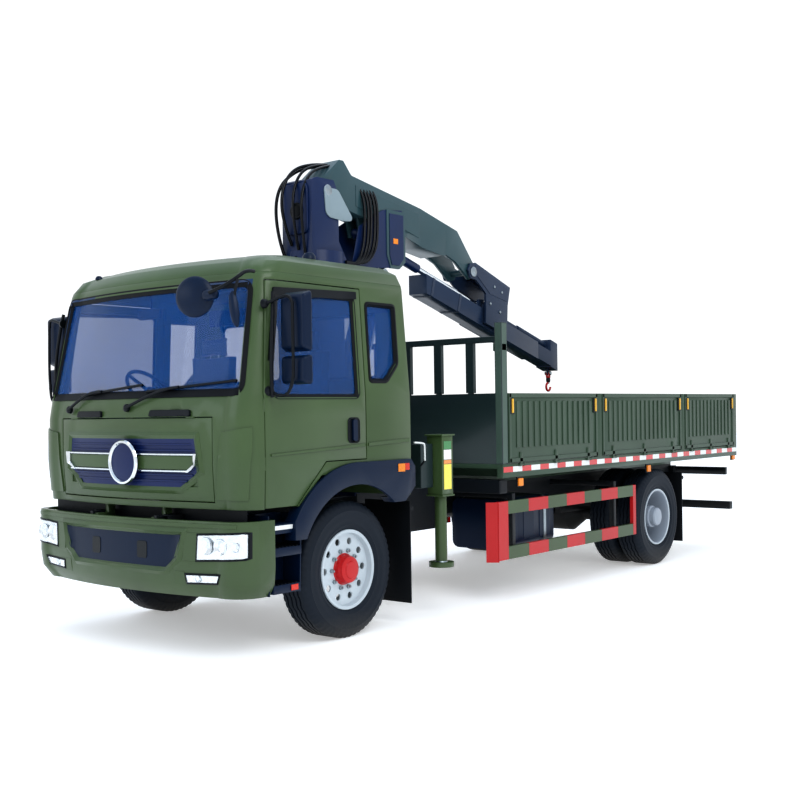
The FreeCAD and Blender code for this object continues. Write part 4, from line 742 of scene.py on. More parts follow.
def nuts(name, face, y, sign, width, length, body):
    # hexagon nuts, each with the end of its stud
    mesh = bmesh.new()
    for k in range(wheelNuts["count"]):
        angle = 2 * math.pi * k / wheelNuts["count"]
        place = Vector((sign * face, y + wheelNuts["ring"] * math.cos(angle),
                        axles["height"] + wheelNuts["ring"] * math.sin(angle)))
        rows = []
        for along, radius in ((0, width), (length * 0.55, width), (length * 0.62, width * 0.62), (length, width * 0.5)):
            rows.append([mesh.verts.new(place + Vector((sign * along, radius * math.cos(j * math.pi / 3),
                                                        radius * math.sin(j * math.pi / 3)))) for j in range(6)])
        for a, b in zip(rows, rows[1:]):
            joinRings(mesh, a, b)
        mesh.faces.new(rows[-1])
    return finishMesh(fromBmesh(name, mesh), zincSteel, body, 0, 30)


def rimFace(node, y):
    # how far out the rim's face is at axle height, on the left
    return surfaceOf(node).ray_cast(Vector((2, y, axles["height"])), Vector((-1, 0, 0)))[0].x


frontNut = rimFace("rim_front_left", axles["front"] + wheelNuts["ring"])
rearNut = rimFace("rims_rear_left", axles["rear"] + wheelNuts["ring"])
rearHub = rimFace("rims_rear_left", axles["rear"])
lip = [(0.0, 0.286), (0.008, 0.296), (0.014, 0.299), (0.018, 0.296), (0.016, 0.288), (0.004, 0.280)]
# the red shell goes over the whole CAD hub, out to its end
hubStart = frontNut - 0.012
reach = 1.135 - hubStart
frontHub = [(0.0, 0.121), (0.014, 0.119), (0.022, 0.110), (reach * 0.55, 0.106), (reach * 0.62, 0.100),
            (reach * 0.80, 0.097), (reach * 0.86, 0.088), (reach * 0.90, 0.068), (reach * 0.985, 0.062),
            (reach, 0.050), (reach, 0.001)]
hubCap = [(0.0, 0.118), (0.03, 0.116), (0.04, 0.100), (0.085, 0.096), (0.098, 0.085), (0.104, 0.001)]
for side, sign in sides:
    for axle, body, face, width, length, lipAt, hub, hubAt, enamel in (
            ("front", f"wheel_front_{side}", frontNut, 0.017, 0.034, 1.084, frontHub, hubStart, redEnamel),
            ("rear", f"wheels_rear_{side}", rearNut, 0.018, 0.045, 1.176, hubCap, rearHub - 0.02, rearWheelEnamel)):
        y = axles[axle]
        nuts(f"nuts_{axle}_{side}", face - 0.002, y, sign, width, length, body)
        turned(f"hub_{axle}_{side}", hub, (hubAt, y, axles["height"]), (1, 0, 0), enamel, body, 48, sign)
        turned(f"rim_lip_{axle}_{side}", lip, (lipAt, y, axles["height"]), (1, 0, 0), wheelEnamel, body, 72, sign)
    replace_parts(tyre(f"tread_front_{side}", sign * 0.9825, axles["front"], f"wheel_front_{side}"), f"tyre_front_{side}")
    for name, x in (("outer", 1.0735), ("inner", 0.7635)):
        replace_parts(tyre(f"tread_rear_{name}_{side}", sign * x, axles["rear"], f"wheels_rear_{side}"),
                    f"tyres_rear_{side}")

# ------- arch flares, steps and mirrors

print("flares and steps")
sidePair([("flare_marker", (1.2135, -2.43, 1.222), (1.221, -2.345, 1.285), amberLens, 0.006),
          ("flare_reflector", (1.2135, -2.343, 1.232), (1.221, -2.29, 1.285), redLens, 0.006)], "cab")
sidePair([("step_top", (0.99, -3.83, 0.855), (1.182, -3.54, 0.925), navyPlastic, 0.008),
          ("step_strip", (1.1815, -3.80, 0.885), (1.186, -3.56, 0.915), whiteTape, 0.001),
          ("step_reflector", (1.171, -3.60, 0.452), (1.177, -3.53, 0.492), redLens, 0.002)], "chassis")
for side, sign in sides:
    # treads with a raised edge
    for number, (low, reach) in enumerate(((0.50, 1.165), (0.76, 1.18))):
        blocks(f"step_tread_{number}_{side}",
               [((0.96, -3.76 + k * 0.035, low), (reach, -3.745 + k * 0.035, low + 0.007)) for k in range(7)],
               blackPlastic, "chassis", 0.002, sign)
    # side skirt that closes the step well
    skirt = [(-3.83, 0.995), (-3.83, 0.80), (-3.80, 0.44), (-3.775, 0.42), (-3.49, 0.42), (-3.48, 0.44),
             (-3.52, 0.995)]
    plate(f"step_skirt_{side}", skirt, "X", 0.925, 0.938, navyPlastic, "chassis", 0.004, sign=sign)
    for number, y in enumerate((-3.80, -3.495)):
        cheek = [(0.935, 0.43), (1.16, 0.43), (1.172, 0.78), (1.16, 0.985), (0.935, 0.985)]
        plate(f"step_cheek_{number}_{side}", cheek, "Y", y - 0.006, y + 0.006, navyPlastic, "chassis", 0.003, sign)
    # door mirrors: rounded shells with their glasses, over the plain housings
    for name, low, high in (("main", 2.10, 2.52), ("wide", 1.88, 2.085)):
        shell = bmesh.new()
        bmesh.ops.create_cube(shell, size=1.0)
        centre = Vector((sign * 1.350, -3.7025, (low + high) / 2))
        reach = Vector((0.258, 0.075, high - low))
        for vert in shell.verts:
            bulge = 0.86 if vert.co.y < 0 else 1.0
            vert.co = Vector((vert.co.x * reach.x * bulge, vert.co.y * reach.y, vert.co.z * reach.z * bulge)) + centre
        piece = finishMesh(fromBmesh(f"mirror_shell_{name}_{side}", shell), navyPlastic, f"door_{side}", 0.022, 30, 4)
        pane = rounded([(centre.x - 0.112, low + 0.016), (centre.x + 0.112, low + 0.016),
                        (centre.x + 0.112, high - 0.016), (centre.x - 0.112, high - 0.016)], 0.03)
        plate(f"mirror_glass_{name}_{side}", pane, "Y", -3.6655, -3.6645, mirrorFilm, f"door_{side}", 0)
        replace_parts(piece, f"mirrors_{side}")
    for number, points in enumerate((
            [(1.17, -3.80, 2.44), (1.27, -3.79, 2.47), (1.372, -3.775, 2.49), (1.384, -3.765, 2.42)],
            [(1.384, -3.768, 2.44), (1.388, -3.772, 2.20), (1.388, -3.772, 2.0), (1.384, -3.768, 1.93)],
            [(1.19, -3.80, 1.84), (1.28, -3.79, 1.80), (1.372, -3.778, 1.83), (1.384, -3.768, 1.95)])):
        bar(f"mirror_arm_{number}_{side}", points, 0.011, blackPlastic, f"door_{side}", sign)
    for name, x, z, profile in (("upper", 1.145, 2.44, [(0.0, 0.034), (0.02, 0.030), (0.035, 0.016), (0.036, 0.001)]),
                                ("lower", 1.165, 1.84, [(0.0, 0.040), (0.02, 0.036), (0.04, 0.018), (0.041, 0.001)])):
        turned(f"mirror_foot_{name}_{side}", profile, (x, -3.80, z), (1, 0, 0), blackPlastic, f"door_{side}", 24,
               sign)

# front mirrors: a round one and a thin oval one, each on a bent arm
roundAt = Vector((0.785, -4.125, 2.495))
roundShell = turned("round_mirror_shell", [(0.0, 0.001), (0.006, 0.06), (0.018, 0.108), (0.032, 0.134),
                                           (0.043, 0.142),
                                           (0.048, 0.138), (0.048, 0.001)], roundAt, (-0.42, 0.9, 0.02),
                    navyPlastic, "cab", 56)
turned("round_mirror_glass", [(0.0, 0.130), (0.004, 0.115), (0.008, 0.07), (0.0095, 0.001)],
       roundAt + Vector((-0.42, 0.9, 0.02)) * 0.046, (-0.42, 0.9, 0.02), mirrorFilm, "cab", 48)
turned("round_mirror_stub", [(0.0, 0.034), (0.03, 0.040), (0.09, 0.034), (0.10, 0.02), (0.101, 0.001)],
       roundAt + Vector((0.10, 0.03, 0.0)), (1, 0.1, 0.05), navyPlastic, "cab", 24)
roundArm = bar("round_mirror_arm", [(0.97, -4.14, 2.505), (1.06, -4.12, 2.53), (1.15, -4.05, 2.60),
                                    (1.17, -3.98, 2.655), (1.14, -3.885, 2.655)], 0.013, blackPlastic, "cab")
ovalShell = turned("oval_mirror_shell", [(0.0, 0.001), (0.004, 0.45), (0.018, 0.85), (0.036, 1.0), (0.044, 0.96),
                                         (0.046, 0.001)], (0, 0, 0), (0, 1, 0), navyPlastic, None, 40)
for vert in ovalShell.data.vertices:
    vert.co = (1.165 + vert.co.x * 0.036 - vert.co.z * 0.02, -4.13 + vert.co.y, 2.385 + vert.co.z * 0.125)
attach(ovalShell, "cab")
bar("oval_mirror_arm", [(1.165, -4.10, 2.42), (1.168, -4.09, 2.52), (1.165, -4.06, 2.585)], 0.010, blackPlastic,
    "cab")
for piece in (roundArm, ovalShell, roundShell):
    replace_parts(piece, "front_mirrors")

# ------- stabilisers, tank and what hangs on the frame

print("stabilisers and frame")
for side, sign in sides:
    body = f"stabiliser_beam_{side}"
    for name, low, high in (("top", (1.000, -1.80, 1.482), (1.180, -1.62, 1.4955)),
                            ("low", (1.005, -1.795, 0.984), (1.175, -1.625, 0.998))):
        blocks(f"leg_flange_{name}_{side}", [(low, high)], greenEnamel, body, 0.003, sign)
    # bare label with four colour patches and no words
    for number, (low, high, film) in enumerate(((1.37, 1.44, labelGreen), (1.285, 1.37, labelWhite),
                                                (1.25, 1.285, labelOrange), (1.04, 1.25, labelYellow))):
        blocks(f"leg_label_{number}_{side}", [((1.166, -1.762, low + 0.002), (1.168, -1.658, high - 0.002))], film,
               body, 0.0005, sign)
    turned(f"foot_disc_{side}", [(0.0, 0.096), (0.004, 0.103), (0.012, 0.104), (0.018, 0.100), (0.030, 0.06),
                                 (0.055, 0.045), (0.056, 0.001)], (sign * 1.09, -1.71, 0.4015), (0, 0, 1), zincSteel,
           f"stabiliser_leg_{side}", 40)
    # bent lock lever on the beam's side
    lever = [(1.17, -2.16, 1.44), (1.17, -2.035, 1.435), (1.17, -2.025, 1.41), (1.17, -2.025, 1.29)]
    bar(f"lock_lever_{side}", lever, 0.007, whiteTape, "chassis", sign)
    bar(f"lock_lever_arm_{side}", [(0.96, -1.84, 1.16), (1.05, -1.94, 1.24), (1.17, -2.025, 1.29)], 0.008,
        frameEnamel,
        "chassis", sign)

sidePair([("splash_plate", (0.605, -2.22, 0.64), (0.615, -1.10, 1.02), frameEnamel, 0.003)], "chassis")
sidePair([("leg_lock_box", (0.985, -1.965, 1.06), (1.085, -1.80, 1.42), rackEnamelAndShade, 0.008)], "stabiliser_beam_{}")
blocks("front_inner_panel", [((-1.08, -3.932, 0.84), (1.08, -3.920, 1.075))], blackPlastic, "chassis", 0.004)
for number, y in enumerate((-0.56, -0.02)):
    outline = rounded([(0.515, 0.425), (1.064, 0.425), (1.064, 0.885), (0.515, 0.885)], 0.05)
    mesh = bmesh.new()
    inner = [mesh.verts.new((x, y - 0.022, z)) for x, z in outline]
    outer = [mesh.verts.new((x, y + 0.022, z)) for x, z in outline]
    joinRings(mesh, inner, outer)
    band = fromBmesh(f"tank_band_{number}", mesh)
    thick = band.modifiers.new("thick", "SOLIDIFY")
    thick.thickness = 0.004
    thick.offset = 1.0
    finishMesh(band, zincSteel, "chassis", 0.001)
turned("tank_cap", [(0.0, 0.05), (0.02, 0.048), (0.028, 0.04), (0.030, 0.001)], (0.98, -0.62, 0.876), (0, 0, 1),
       blackPlastic, "chassis", 32)
for k in range(3):
    y = -0.70 + 0.28 * k
    layOn(f"tank_rib_{k}", surfaceOf("fuel_tank"), "left", [(y + 0.03, 0.50), (y + 0.21, 0.50), (y + 0.21, 0.80),
                                                             (y + 0.03, 0.80)], 0.004, navyPlastic, "chassis",
          edge=0.003)

# ------- bed: ribs, latches, tape and the guards' stripes

print("bed")
gates = {"front": (-0.896, 0.697), "middle": (0.803, 2.607), "rear": (2.713, 4.073)}
ribs = {"low": 1.354, "high": 1.764, "pitch": 0.100, "width": 0.050, "rise": 0.010}
for label, (start, end) in gates.items():
    for side, sign in sides:
        body = f"gate_{side}_{label}"
        count = int((end - start - 0.12) / ribs["pitch"])
        first = (start + end) / 2 - ribs["pitch"] * (count - 1) / 2
        inner, outer = 1.2385, 1.24 + ribs["rise"]
        starts = [first + k * ribs["pitch"] - ribs["width"] / 2 for k in range(count)]
        blocks(f"gate_ribs_{side}_{label}", [((inner, y, ribs["low"]), (outer, y + ribs["width"], ribs["high"]))
                                             for y in starts], bedEnamel, body, 0.004, sign)
        edge = [((inner, start + 0.004, 1.795), (outer, end - 0.004, 1.832)),
                ((inner, start + 0.004, 1.226), (outer, end - 0.004, 1.262)),
                ((inner, start + 0.002, 1.226), (outer, start + 0.036, 1.832)),
                ((inner, end - 0.036, 1.226), (outer, end - 0.002, 1.832))]
        blocks(f"gate_rim_{side}_{label}", edge, bedEnamel, body, 0.003, sign)
        for number, y in enumerate((start + 0.05, end - 0.05)):
            blocks(f"latch_plate_{number}_{side}_{label}", [((1.24, y - 0.035, 1.65), (1.252, y + 0.035, 1.79))],
                   frameEnamel, body, 0.003, sign=sign)
            blocks(f"latch_handle_{number}_{side}_{label}",
                   [((1.2455, y - 0.012, 1.66), (1.262, y + 0.012, 1.785))], yellowEnamel, body, 0.005, sign=sign)
for side, sign in sides:
    cells = [(k, -0.985 + k * 0.152) for k in range(34)]
    for film, name, odd in ((redTape, "red", 0), (whiteTape, "white", 1)):
        blocks(f"tape_{name}_{side}",
               [((1.2395, y, 1.142), (1.2415, y + 0.151, 1.190)) for k, y in cells if k % 2 == odd],
               film, "chassis", 0, sign=sign)
    for number, (y, z) in enumerate(((-0.69, 1.045), (1.835, 1.045), (4.10, 1.08))):
        blocks(f"side_marker_{number}_{side}", [((1.218, y - 0.038, z - 0.035), (1.236, y + 0.038, z + 0.035))],
               amberLens, "chassis", 0.006, sign=sign)
        blocks(f"marker_bracket_{number}_{side}", [((1.205, y - 0.045, z - 0.042), (1.219, y + 0.045, 1.098))],
               frameEnamel, "chassis", 0.003, sign=sign)
    # painted sleeves round the two rails, with a red plate at each end
    for enamel, name, odd in ((greenEnamel, "green", 0), (redEnamel, "red", 1)):
        rows = [((1.166, -0.86 + k * 0.34, low), (1.2035, min(-0.52 + k * 0.34, 1.516), low + 0.114))
                for k in range(odd, 7, 2) for low in (0.372, 0.772)]
        blocks(f"guard_stripes_{name}_{side}", rows, enamel, "chassis", 0.002, sign)
    bent = [(1.203, -1.010), (1.110, -1.075), (1.106, -1.070), (1.197, -1.005)]
    plate(f"guard_bent_lip_{side}", bent, "Z", 0.36, 0.884, redEnamel, "chassis", 0.001, sign)
# the guards' end plates, and the square tube end of the subframe's cross beam ahead of them, its mouth a black sheet of
# painted shade
sidePair([("guard_front_plate", (1.166, -1.0155, 0.372), (1.2045, -0.860, 0.886), redEnamel, 0.003),
          ("guard_rear_plate", (1.166, 1.514, 0.372), (1.2045, 1.578, 0.886), redEnamel, 0.003),
          ("beam_end", (0.43, -0.985, 0.955), (1.20, -0.865, 1.075), frameEnamel, 0.006),
          ("beam_mouth_painted_shade", (1.199, -0.972, 0.968), (1.2025, -0.878, 1.062), blackPlastic, 0.002)], "chassis")
# tail: plain lamps in the lamp bar, a bare plate and a chain each side
for side, sign in sides:
    for number, (low, high, lens) in enumerate(((0.60, 0.78, redLens), (0.79, 0.92, amberLens),
                                                (0.93, 1.08, redLens))):
        blocks(f"tail_lamp_{number}_{side}", [((low, 4.128, 0.868), (high, 4.146, 0.942))], lens, "chassis", 0.006,
               sign=sign)
blocks("rear_plate", [((-0.26, 4.133, 0.87), (0.26, 4.139, 0.94))], whiteTape, "chassis", 0.002)
boards = [((-1.16, -0.89 + k * 0.205, 1.2165), (1.16, -0.692 + k * 0.205, 1.2195)) for k in range(24)]
blocks("floor_boards", boards, bedEnamel, "chassis", 0.001)
bars = [((x - 0.042, -0.991, 1.84), (x + 0.042, -0.947, 2.29)) for x in (-0.85, -0.5, -0.15, 0.2, 0.55, 0.9)]
blocks("rack_bars", bars, rackEnamelAndShade, "chassis", 0.005)
sidePair([("rack_post", (1.167, -0.9955, 1.216), (1.2405, -0.9025, 2.4505), postEnamel, 0.010),
          ("rack_knee", (1.147, -0.99, 2.20), (1.2405, -0.91, 2.27), postEnamel, 0.008)], "chassis")
blocks("rack_top_rail", [((-1.17, -0.993, 2.278), (1.17, -0.945, 2.332))], rackEnamelAndShade, "chassis", 0.008)

# ------- crane: column bands, boom plates, hoses, cylinders and hook

print("crane")
craneX = -0.15
columnAt = -1.84


def craneSpot(y, z, x=0.0):
    # a place given from the column's axis, as the source has it
    return Vector((craneX + x, columnAt + y, z))


turned("slew_ring", [(0.0, 0.290), (0.006, 0.300), (0.05, 0.300), (0.056, 0.292), (0.056, 0.252)],
       (craneX, columnAt, 1.503), (0, 0, 1), columnEnamel, "crane_column", 64)
nutRing = bmesh.new()
for k in range(20):
    angle = 2 * math.pi * k / 20
    corner = bmesh.ops.create_cone(nutRing, cap_ends=True, segments=6, radius1=0.011, radius2=0.010, depth=0.016)
    bmesh.ops.translate(nutRing, verts=corner["verts"],
                        vec=(craneX + 0.274 * math.cos(angle), columnAt + 0.274 * math.sin(angle), 1.566))
finishMesh(fromBmesh("slew_bolts", nutRing), zincSteel, "crane_column", 0, 30)
for number, z in enumerate((1.72, 2.30, 2.88)):
    turned(f"column_band_{number}", [(0.0, 0.249), (0.004, 0.256), (0.034, 0.256), (0.038, 0.249)],
           (craneX, columnAt, z), (0, 0, 1), columnEnamel, "crane_column", 64)
for number, (y, z, reach, body) in enumerate(((-0.02, 3.63, 0.172, "crane_column"), (0.34, 1.75, 0.172,
                                                            "crane_column"),
                                              (2.219, 3.107, 0.168, "inner_boom"))):
    for side, sign in sides:
        turned(f"pin_cap_{number}_{side}",
               [(0.0, 0.052), (0.010, 0.052), (0.016, 0.044), (0.018, 0.020), (0.021, 0.016), (0.022, 0.001)],
               craneSpot(y, z, sign * reach), (sign, 0, 0), zincSteel, body, 32)
for side, sign in sides:
    # stiffening plates welded on the inner boom's flank
    flank = [(0.40, 3.74), (1.34, 3.595), (1.34, 3.36), (1.10, 3.42), (0.40, 3.55)]
    plate(f"boom_flank_{side}", [(columnAt + y, z) for y, z in flank], "X", craneX + sign * 0.1395,
          craneX + sign * 0.1445, boomEnamel, "inner_boom",
          0.002)
    rim = [(0.85, 3.54), (1.06, 3.54), (1.06, 3.13), (0.99, 3.06), (0.88, 3.06), (0.85, 3.15)]
    plate(f"bracket_plate_{side}", [(columnAt + y, z) for y, z in rim], "X", craneX + sign * 0.165,
          craneX + sign * 0.172, columnEnamel, "inner_boom",
          0.003)
    fan = [(0.766, 3.561), (1.06, 3.59), (1.026, 3.102), (0.918, 3.036), (0.651, 3.013), (0.31, 2.99), (0.42, 3.37)]
    plate(f"fan_plate_{side}", [(columnAt + y, z) for y, z in fan], "X", craneX + sign * 0.151,
          craneX + sign * 0.157, columnEnamel, "inner_boom", 0.002)
    blocks(f"bracket_marker_{side}", [((craneX + sign * 0.172, columnAt + 0.90, 3.26), (craneX + sign * 0.176,
                                                            columnAt + 0.97, 3.31))], amberLens,
           "inner_boom", 0.004)
    # outer boom: raised doubler plates on the tapered flank
    cheek = [(2.20, 3.13), (2.27, 3.175), (2.86, 2.98), (2.83, 2.84), (2.52, 2.90), (2.33, 3.04)]
    plate(f"outer_doubler_{side}", [(columnAt + y, z) for y, z in cheek], "X", craneX + sign * 0.1695,
          craneX + sign * 0.1745, craneEnamel, "outer_boom",
          0.002)
    for number, (y, z) in enumerate(((2.60, 2.98), (2.74, 2.93), (2.70, 2.72), (2.52, 2.80))):
        turned(f"outer_bolt_{number}_{side}", [(0.0, 0.017), (0.010, 0.016), (0.014, 0.010), (0.015, 0.001)],
               craneSpot(y, z, sign * 0.1695), (sign, 0, 0), zincSteel, "outer_boom", 6)

lift = {"foot": (0.34, 1.75), "eye": (0.937, 3.287)}
way = (Vector((0, lift["eye"][0] - lift["foot"][0], lift["eye"][1] - lift["foot"][1]))).normalized()
for side, sign in sides:
    foot = craneSpot(*lift["foot"], sign * 0.095)
    turned(f"lift_gland_{side}", [(0.0, 0.049), (0.004, 0.0535), (0.05, 0.0535), (0.056, 0.047), (0.060, 0.036)],
           foot + way * 1.30, way, zincSteel, "lift_barrels", 40)
    bar(f"lift_pipe_{side}", [foot + way * 0.12 + Vector((sign * 0.048, 0.02, 0)),
                              foot + way * 0.30 + Vector((sign * 0.056, 0.03, 0)),
                              foot + way * 1.10 + Vector((sign * 0.056, 0.03, 0)),
                              foot + way * 1.25 + Vector((sign * 0.046, 0.02, 0))], 0.008, zincSteel, "lift_barrels")
slope = 0.2846
tilt = Vector((0, 1, -slope)).normalized()
rise = Vector((0, slope, 1)).normalized()


def boomSpot(y, above, x=0.0):
    return craneSpot(y, 2.826 - slope * (y - 1.552) + above, x)


for number, y in enumerate((1.60, 2.05)):
    centre = boomSpot(y, 0.095)
    mesh = bmesh.new()
    rows = []
    for offset in (-0.018, 0.018):
        rows.append([mesh.verts.new(centre + tilt * offset + rise * v + Vector((u, 0, 0)))
                     for u, v in rounded([(-0.116, -0.095), (0.116, -0.095), (0.116, 0.097), (-0.116, 0.097)],
                                         0.012)])
    joinRings(mesh, *rows)
    band = fromBmesh(f"tube_collar_{number}", mesh)
    thick = band.modifiers.new("thick", "SOLIDIFY")
    thick.thickness = 0.006
    finishMesh(band, craneEnamel, "outer_boom", 0.002)

hoses = [
    ("left_loop", [(-0.20, 2.95, -0.12), (-0.27, 3.10, -0.15), (-0.32, 3.43, -0.18), (-0.29, 3.66, -0.16),
                   (-0.16, 3.80, -0.12), (0.02, 3.88, -0.08), (0.20, 3.91, -0.05)], 0.015),
    ("second_loop", [(-0.235, 3.15, -0.06), (-0.33, 3.36, -0.08), (-0.34, 3.62, -0.08), (-0.22, 3.82, -0.06),
                     (0.02, 3.90, -0.02), (0.20, 3.915, -0.02)], 0.014),
    ("third_loop", [(-0.235, 3.10, 0.02), (-0.30, 3.34, 0.02), (-0.30, 3.62, 0.02), (-0.18, 3.81, 0.02),
                    (0.05, 3.89, 0.02), (0.20, 3.91, 0.02)], 0.013),
    ("fourth_loop", [(-0.235, 3.05, 0.10), (-0.29, 3.30, 0.11), (-0.29, 3.58, 0.11), (-0.17, 3.78, 0.10),
                     (0.06, 3.87, 0.08), (0.21, 3.90, 0.06)], 0.013),
]
# fan of hoses that hangs down the boom's near flank and goes back to the column
for number in range(5):
    shift = 0.046 * number
    out = 0.174 + 0.004 * (number % 2)
    hoses.append((f"flank_{number}", [(0.20, 2.98 + 0.012 * number, 0.185), (0.34 + shift * 0.6, 3.01, out + 0.014),
                                      (0.44 + shift, 3.16, out + 0.016), (0.475 + shift, 3.40, out + 0.010),
                                      (0.48 + shift, 3.62, out), (0.46 + shift, 3.745, 0.12),
                                      (0.45 + shift, 3.775, 0.06)], 0.013))
for name, points, radius in hoses:
    item = bar(f"hose_{name}", [craneSpot(y, z, x) for y, z, x in points], radius, hoseRubber, None)
    mesh = bpy.data.meshes.new_from_object(item)
    solid = bpy.data.objects.new(f"hose_{name}_tube", mesh)
    bpy.data.objects.remove(item)
    bpy.context.scene.collection.objects.link(solid)
    for face in mesh.polygons:
        face.use_smooth = True
    ends = ((0.25, 3.0), (0.46, 3.45)) if name.startswith("flank") else ((-0.25, 3.5), (0.15, 3.85))
    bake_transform(solid)
# light casting over the boom's foot pin, on the near side
casting = [(-0.078, 3.656), (0.107, 3.656), (0.300, 3.43), (0.285, 3.395), (0.195, 3.383), (-0.005, 3.395),
           (-0.057, 3.432)]
plate("boom_foot_casting", rounded([(columnAt + y, z) for y, z in casting], 0.03), "X", craneX + 0.174,
      craneX + 0.188,
      castingEnamel, "crane_column", 0.006)
# rounded cover on the head's cab side, with a round port
plate("head_cover", rounded([(craneX - 0.14, 3.24), (craneX + 0.14, 3.24), (craneX + 0.14, 3.68),
                             (craneX - 0.14, 3.68)], 0.06), "Y", columnAt - 0.250, columnAt - 0.226, columnEnamel,
      "crane_column", 0.008)
turned("head_port", [(0.0, 0.075), (0.010, 0.073), (0.014, 0.066), (0.010, 0.058), (0.004, 0.05), (0.004, 0.001)],
       (craneX + 0.02, columnAt - 0.250, 3.44), (0, -1, 0), blackPlastic, "crane_column", 40)
for number, x in enumerate((0.06, 0.02, -0.02, -0.06)):
    bar(f"boom_pipe_{number}", [craneSpot(0.22, 3.915, x), craneSpot(0.36, 3.835, x), craneSpot(1.30, 3.678, x),
                                craneSpot(1.85, 3.548, x)], 0.009, blackRubber if number % 2 else zincSteel,
        "inner_boom")
for number, z in enumerate((1.75, 2.15, 2.55)):
    bar(f"column_pipe_{number}", [craneSpot(-0.255, z, -0.10 + 0.05 * number),
                                  craneSpot(-0.262, z + 0.3, -0.09 + 0.05 * number),
                                  craneSpot(-0.255, 3.05, -0.10 + 0.05 * number)], 0.010, blackRubber, "crane_column")
# valve bank with its row of levers beside the column
blocks("valve_bank", [((-0.62, -1.96, 1.10), (-0.46, -1.70, 1.30))], columnEnamel, "chassis", 0.01)
for k in range(6):
    y = -1.93 + 0.04 * k
    bar(f"valve_lever_{k}", [(-0.60, y, 1.295), (-0.63, y, 1.36), (-0.66, y, 1.42)], 0.006, zincSteel, "chassis")

hookTop = craneSpot(3.96, 2.10)
turned("hook_swivel", [(0.0, 0.016), (0.006, 0.024), (0.030, 0.026), (0.048, 0.024), (0.056, 0.014)],
       hookTop + Vector((0, 0, -0.104)), (0, 0, 1), blackPlastic, "hook", 32)
turned("hook_nut", [(0.0, 0.010), (0.002, 0.019), (0.014, 0.019), (0.017, 0.011)],
       hookTop + Vector((0, 0, -0.120)), (0, 0, 1), zincSteel, "hook", 6)
for side, sign in sides:
    turned(f"tip_pin_cap_{side}",
           [(0.0, 0.022), (0.008, 0.022), (0.011, 0.016), (0.012, 0.001)], hookTop + Vector((sign * 0.028, 0, 0)),
           (sign, 0, 0), zincSteel, "hook", 24)

# ------- inside the cab: seats with crowned cushions, mirror and dash top

print("cab inside")


def cushion(name, low, high, bulge, lean=0.0):
    # a closed soft form: its broad faces swell and its sides draw in between the corners
    mesh = bmesh.new()
    bmesh.ops.create_cube(mesh, size=1.0)
    bmesh.ops.subdivide_edges(mesh, edges=mesh.edges[:], cuts=9, use_grid_fill=True)
    centre = [(a + b) / 2 for a, b in zip(low, high)]
    size = [b - a for a, b in zip(low, high)]
    thin = size.index(min(size))
    for vert in mesh.verts:
        unit = [c * 2 for c in vert.co]
        moved = []
        for axis in range(3):
            others = [a for a in range(3) if a != axis]
            fall = (1 - unit[others[0]] ** 2) * (1 - unit[others[1]] ** 2)
            draw = 0.0
            if axis == thin:
                draw = bulge * max(0.0, fall) ** 0.6 * unit[axis]
                channel = others[0] if size[others[0]] < size[others[1]] else others[1]
                draw -= 0.006 * unit[axis] * math.exp(-((abs(unit[channel]) - 0.6) / 0.06) ** 2)
            else:
                across = others[1] if others[0] == thin else others[0]
                draw = -0.012 * (1 - unit[across] ** 2) * unit[axis]
            moved.append(centre[axis] + unit[axis] * (size[axis] / 2 - bulge * (axis == thin)) + draw)
        vert.co = moved
    item = finishMesh(fromBmesh(name, mesh), seatCloth, None, 0.012, 40, 3)
    smooth = item.modifiers.new("soften", "SUBSURF")
    smooth.levels = 1
    smooth.render_levels = 1
    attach(item, "cab")
    return item


for side, sign in sides:
    x = sign * 0.52
    seat = cushion(f"seat_cushion_{side}", (x - 0.235, -3.225, 1.57), (x + 0.235, -2.795, 1.70), 0.018)
    back = cushion(f"seat_back_{side}", (x - 0.23, -2.795, 1.66), (x + 0.23, -2.665, 2.17), 0.018)
    rest = cushion(f"headrest_{side}", (x - 0.13, -2.775, 2.18), (x + 0.13, -2.675, 2.328), 0.014)
    base = blocks(f"seat_base_{side}", [((x - 0.148, -3.19, 1.292), (x + 0.148, -2.82, 1.50)),
                                        ((x - 0.20, -3.21, 1.50), (x + 0.20, -2.80, 1.575)),
                                        ((x - 0.215, -2.80, 1.56), (x + 0.215, -2.755, 1.70))], blackPlastic, "cab",
                  0.012)
    for post in (-0.05, 0.05):
        bar(f"headrest_post_{side}_{'a' if post < 0 else 'b'}", [(x + post, -2.725, 2.14), (x + post, -2.725, 2.20)],
            0.006, chromePlate, "cab")
    for piece in (seat, back, rest, base):
        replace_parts(piece, "seats")
blocks("interior_mirror", [((-0.13, -3.86, 2.40), (0.13, -3.83, 2.48))], blackPlastic, "cab", 0.02)
bar("interior_mirror_stem", [(0.0, -3.83, 2.46), (0.0, -3.84, 2.56), (0.0, -3.83, 2.64)], 0.008, blackPlastic, "cab")
blocks("dash_top", [((-1.02, -3.86, 1.826), (1.02, -3.66, 1.842))], dashPlastic, "cab", 0.007)

# ------- floor, soft studio light and camera

print("studio")
floorMesh = bmesh.new()
bmesh.ops.create_grid(floorMesh, x_segments=2, y_segments=2, size=60)
studioFloor = fromBmesh("studioFloor", floorMesh)
paper, paperTree, paperShader, paperPlace = startMaterial("paleFloor", Roughness=0.7, Emission_Strength=0.3,
                                                         Emission_Color=toLinear("#ffffff"))
paperNoise = addNode(paperTree, "TexNoise", inputs={"Vector": paperPlace, "Scale": 0.4})
fillInputs(paperTree, paperShader, {"Base Color": addNode(paperTree, "ValToRGB", {"stops": [
    (0.3, toLinear("#f3f3f2")), (0.7, toLinear("#faf9f7"))]}, {"Fac": paperNoise})})
studioFloor.data.materials.append(paper)

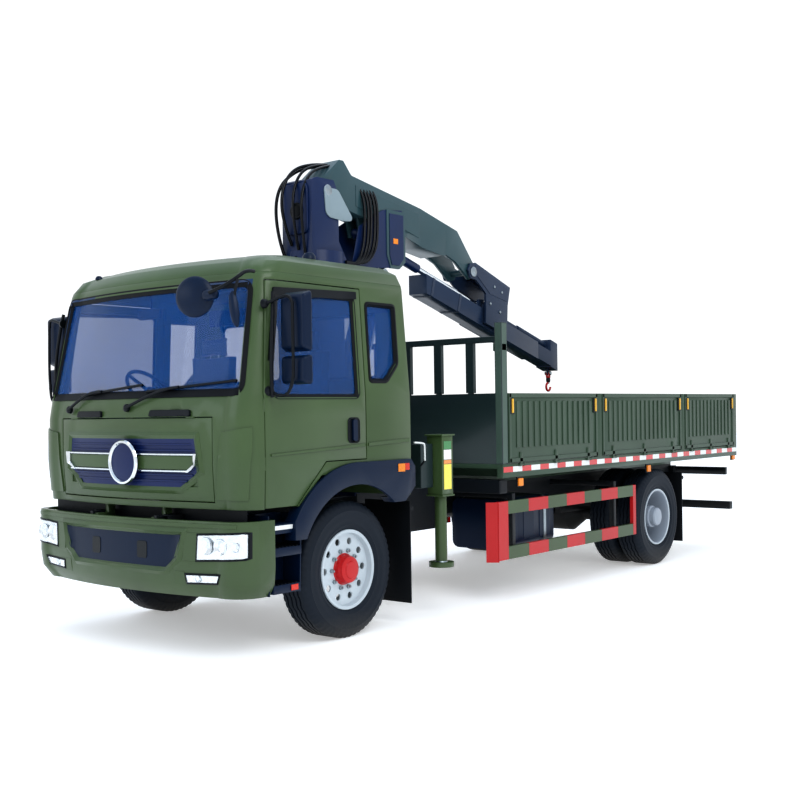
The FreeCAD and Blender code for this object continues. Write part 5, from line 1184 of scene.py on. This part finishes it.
world = bpy.data.worlds.new("studio")
bpy.context.scene.world = world
world.use_nodes = True
skyTree = world.node_tree
sky = skyTree.nodes["Background"]
skyPoint = addNode(skyTree, "TexCoord", output="Generated")
skyHeight = addNode(skyTree, "SeparateXYZ", inputs={"Vector": skyPoint}, output="Z")
skyRise = addNode(skyTree, "MapRange", inputs={"Value": skyHeight, "From Min": -0.1, "From Max": 0.9})
fillInputs(skyTree, sky, {"Strength": 1.0, "Color": addNode(skyTree, "ValToRGB", {"stops": [
    (0.0, toLinear("#ffffff")), (0.35, toLinear("#f4f8fc")), (1.0, toLinear("#cfdff2"))]}, {"Fac": skyRise})})


def areaLight(name, place, target, width, height, power, colour):
    lamp = bpy.data.lights.new(name, "AREA")
    lamp.shape = "RECTANGLE"
    lamp.size = width
    lamp.size_y = height
    lamp.energy = power
    lamp.color = toLinear(colour)[:3]
    item = bpy.data.objects.new(name, lamp)
    bpy.context.scene.collection.objects.link(item)
    item.location = place
    item.rotation_euler = (Vector(target) - Vector(place)).to_track_quat("-Z", "Y").to_euler()
    return item


areaLight("keyLight", (9.0, -6.0, 9.0), (0, 0, 1.2), 6, 6, 420, "#ffffff")
areaLight("frontLight", (-3.0, -13.0, 5.0), (0, -3, 1.6), 6, 4, 120, "#eaf2ff")
areaLight("topLight", (0, 0, 11), (0, 0, 0), 8, 10, 260, "#f3f7ff")

lens = bpy.data.cameras.new("camera")
lens.lens = 51.463
lens.sensor_width = 36
lens.shift_x = 0.0497
lens.shift_y = 0.0319
lens.clip_end = 200
camera = bpy.data.objects.new("camera", lens)
bpy.context.scene.collection.objects.link(camera)
right = Vector((0.76501, 0.64385, -0.01482))
up = Vector((0.00319, 0.01921, 0.99981))
back = Vector((0.64401, -0.76491, 0.01264))
camera.matrix_world = Matrix(((right.x, up.x, back.x, 6.6827), (right.y, up.y, back.y, -9.3711),
                              (right.z, up.z, back.z, 1.696), (0, 0, 0, 1)))
bpy.context.scene.camera = camera
bpy.context.scene.view_settings.view_transform = "Standard"
bpy.context.scene.view_settings.look = "Medium High Contrast"
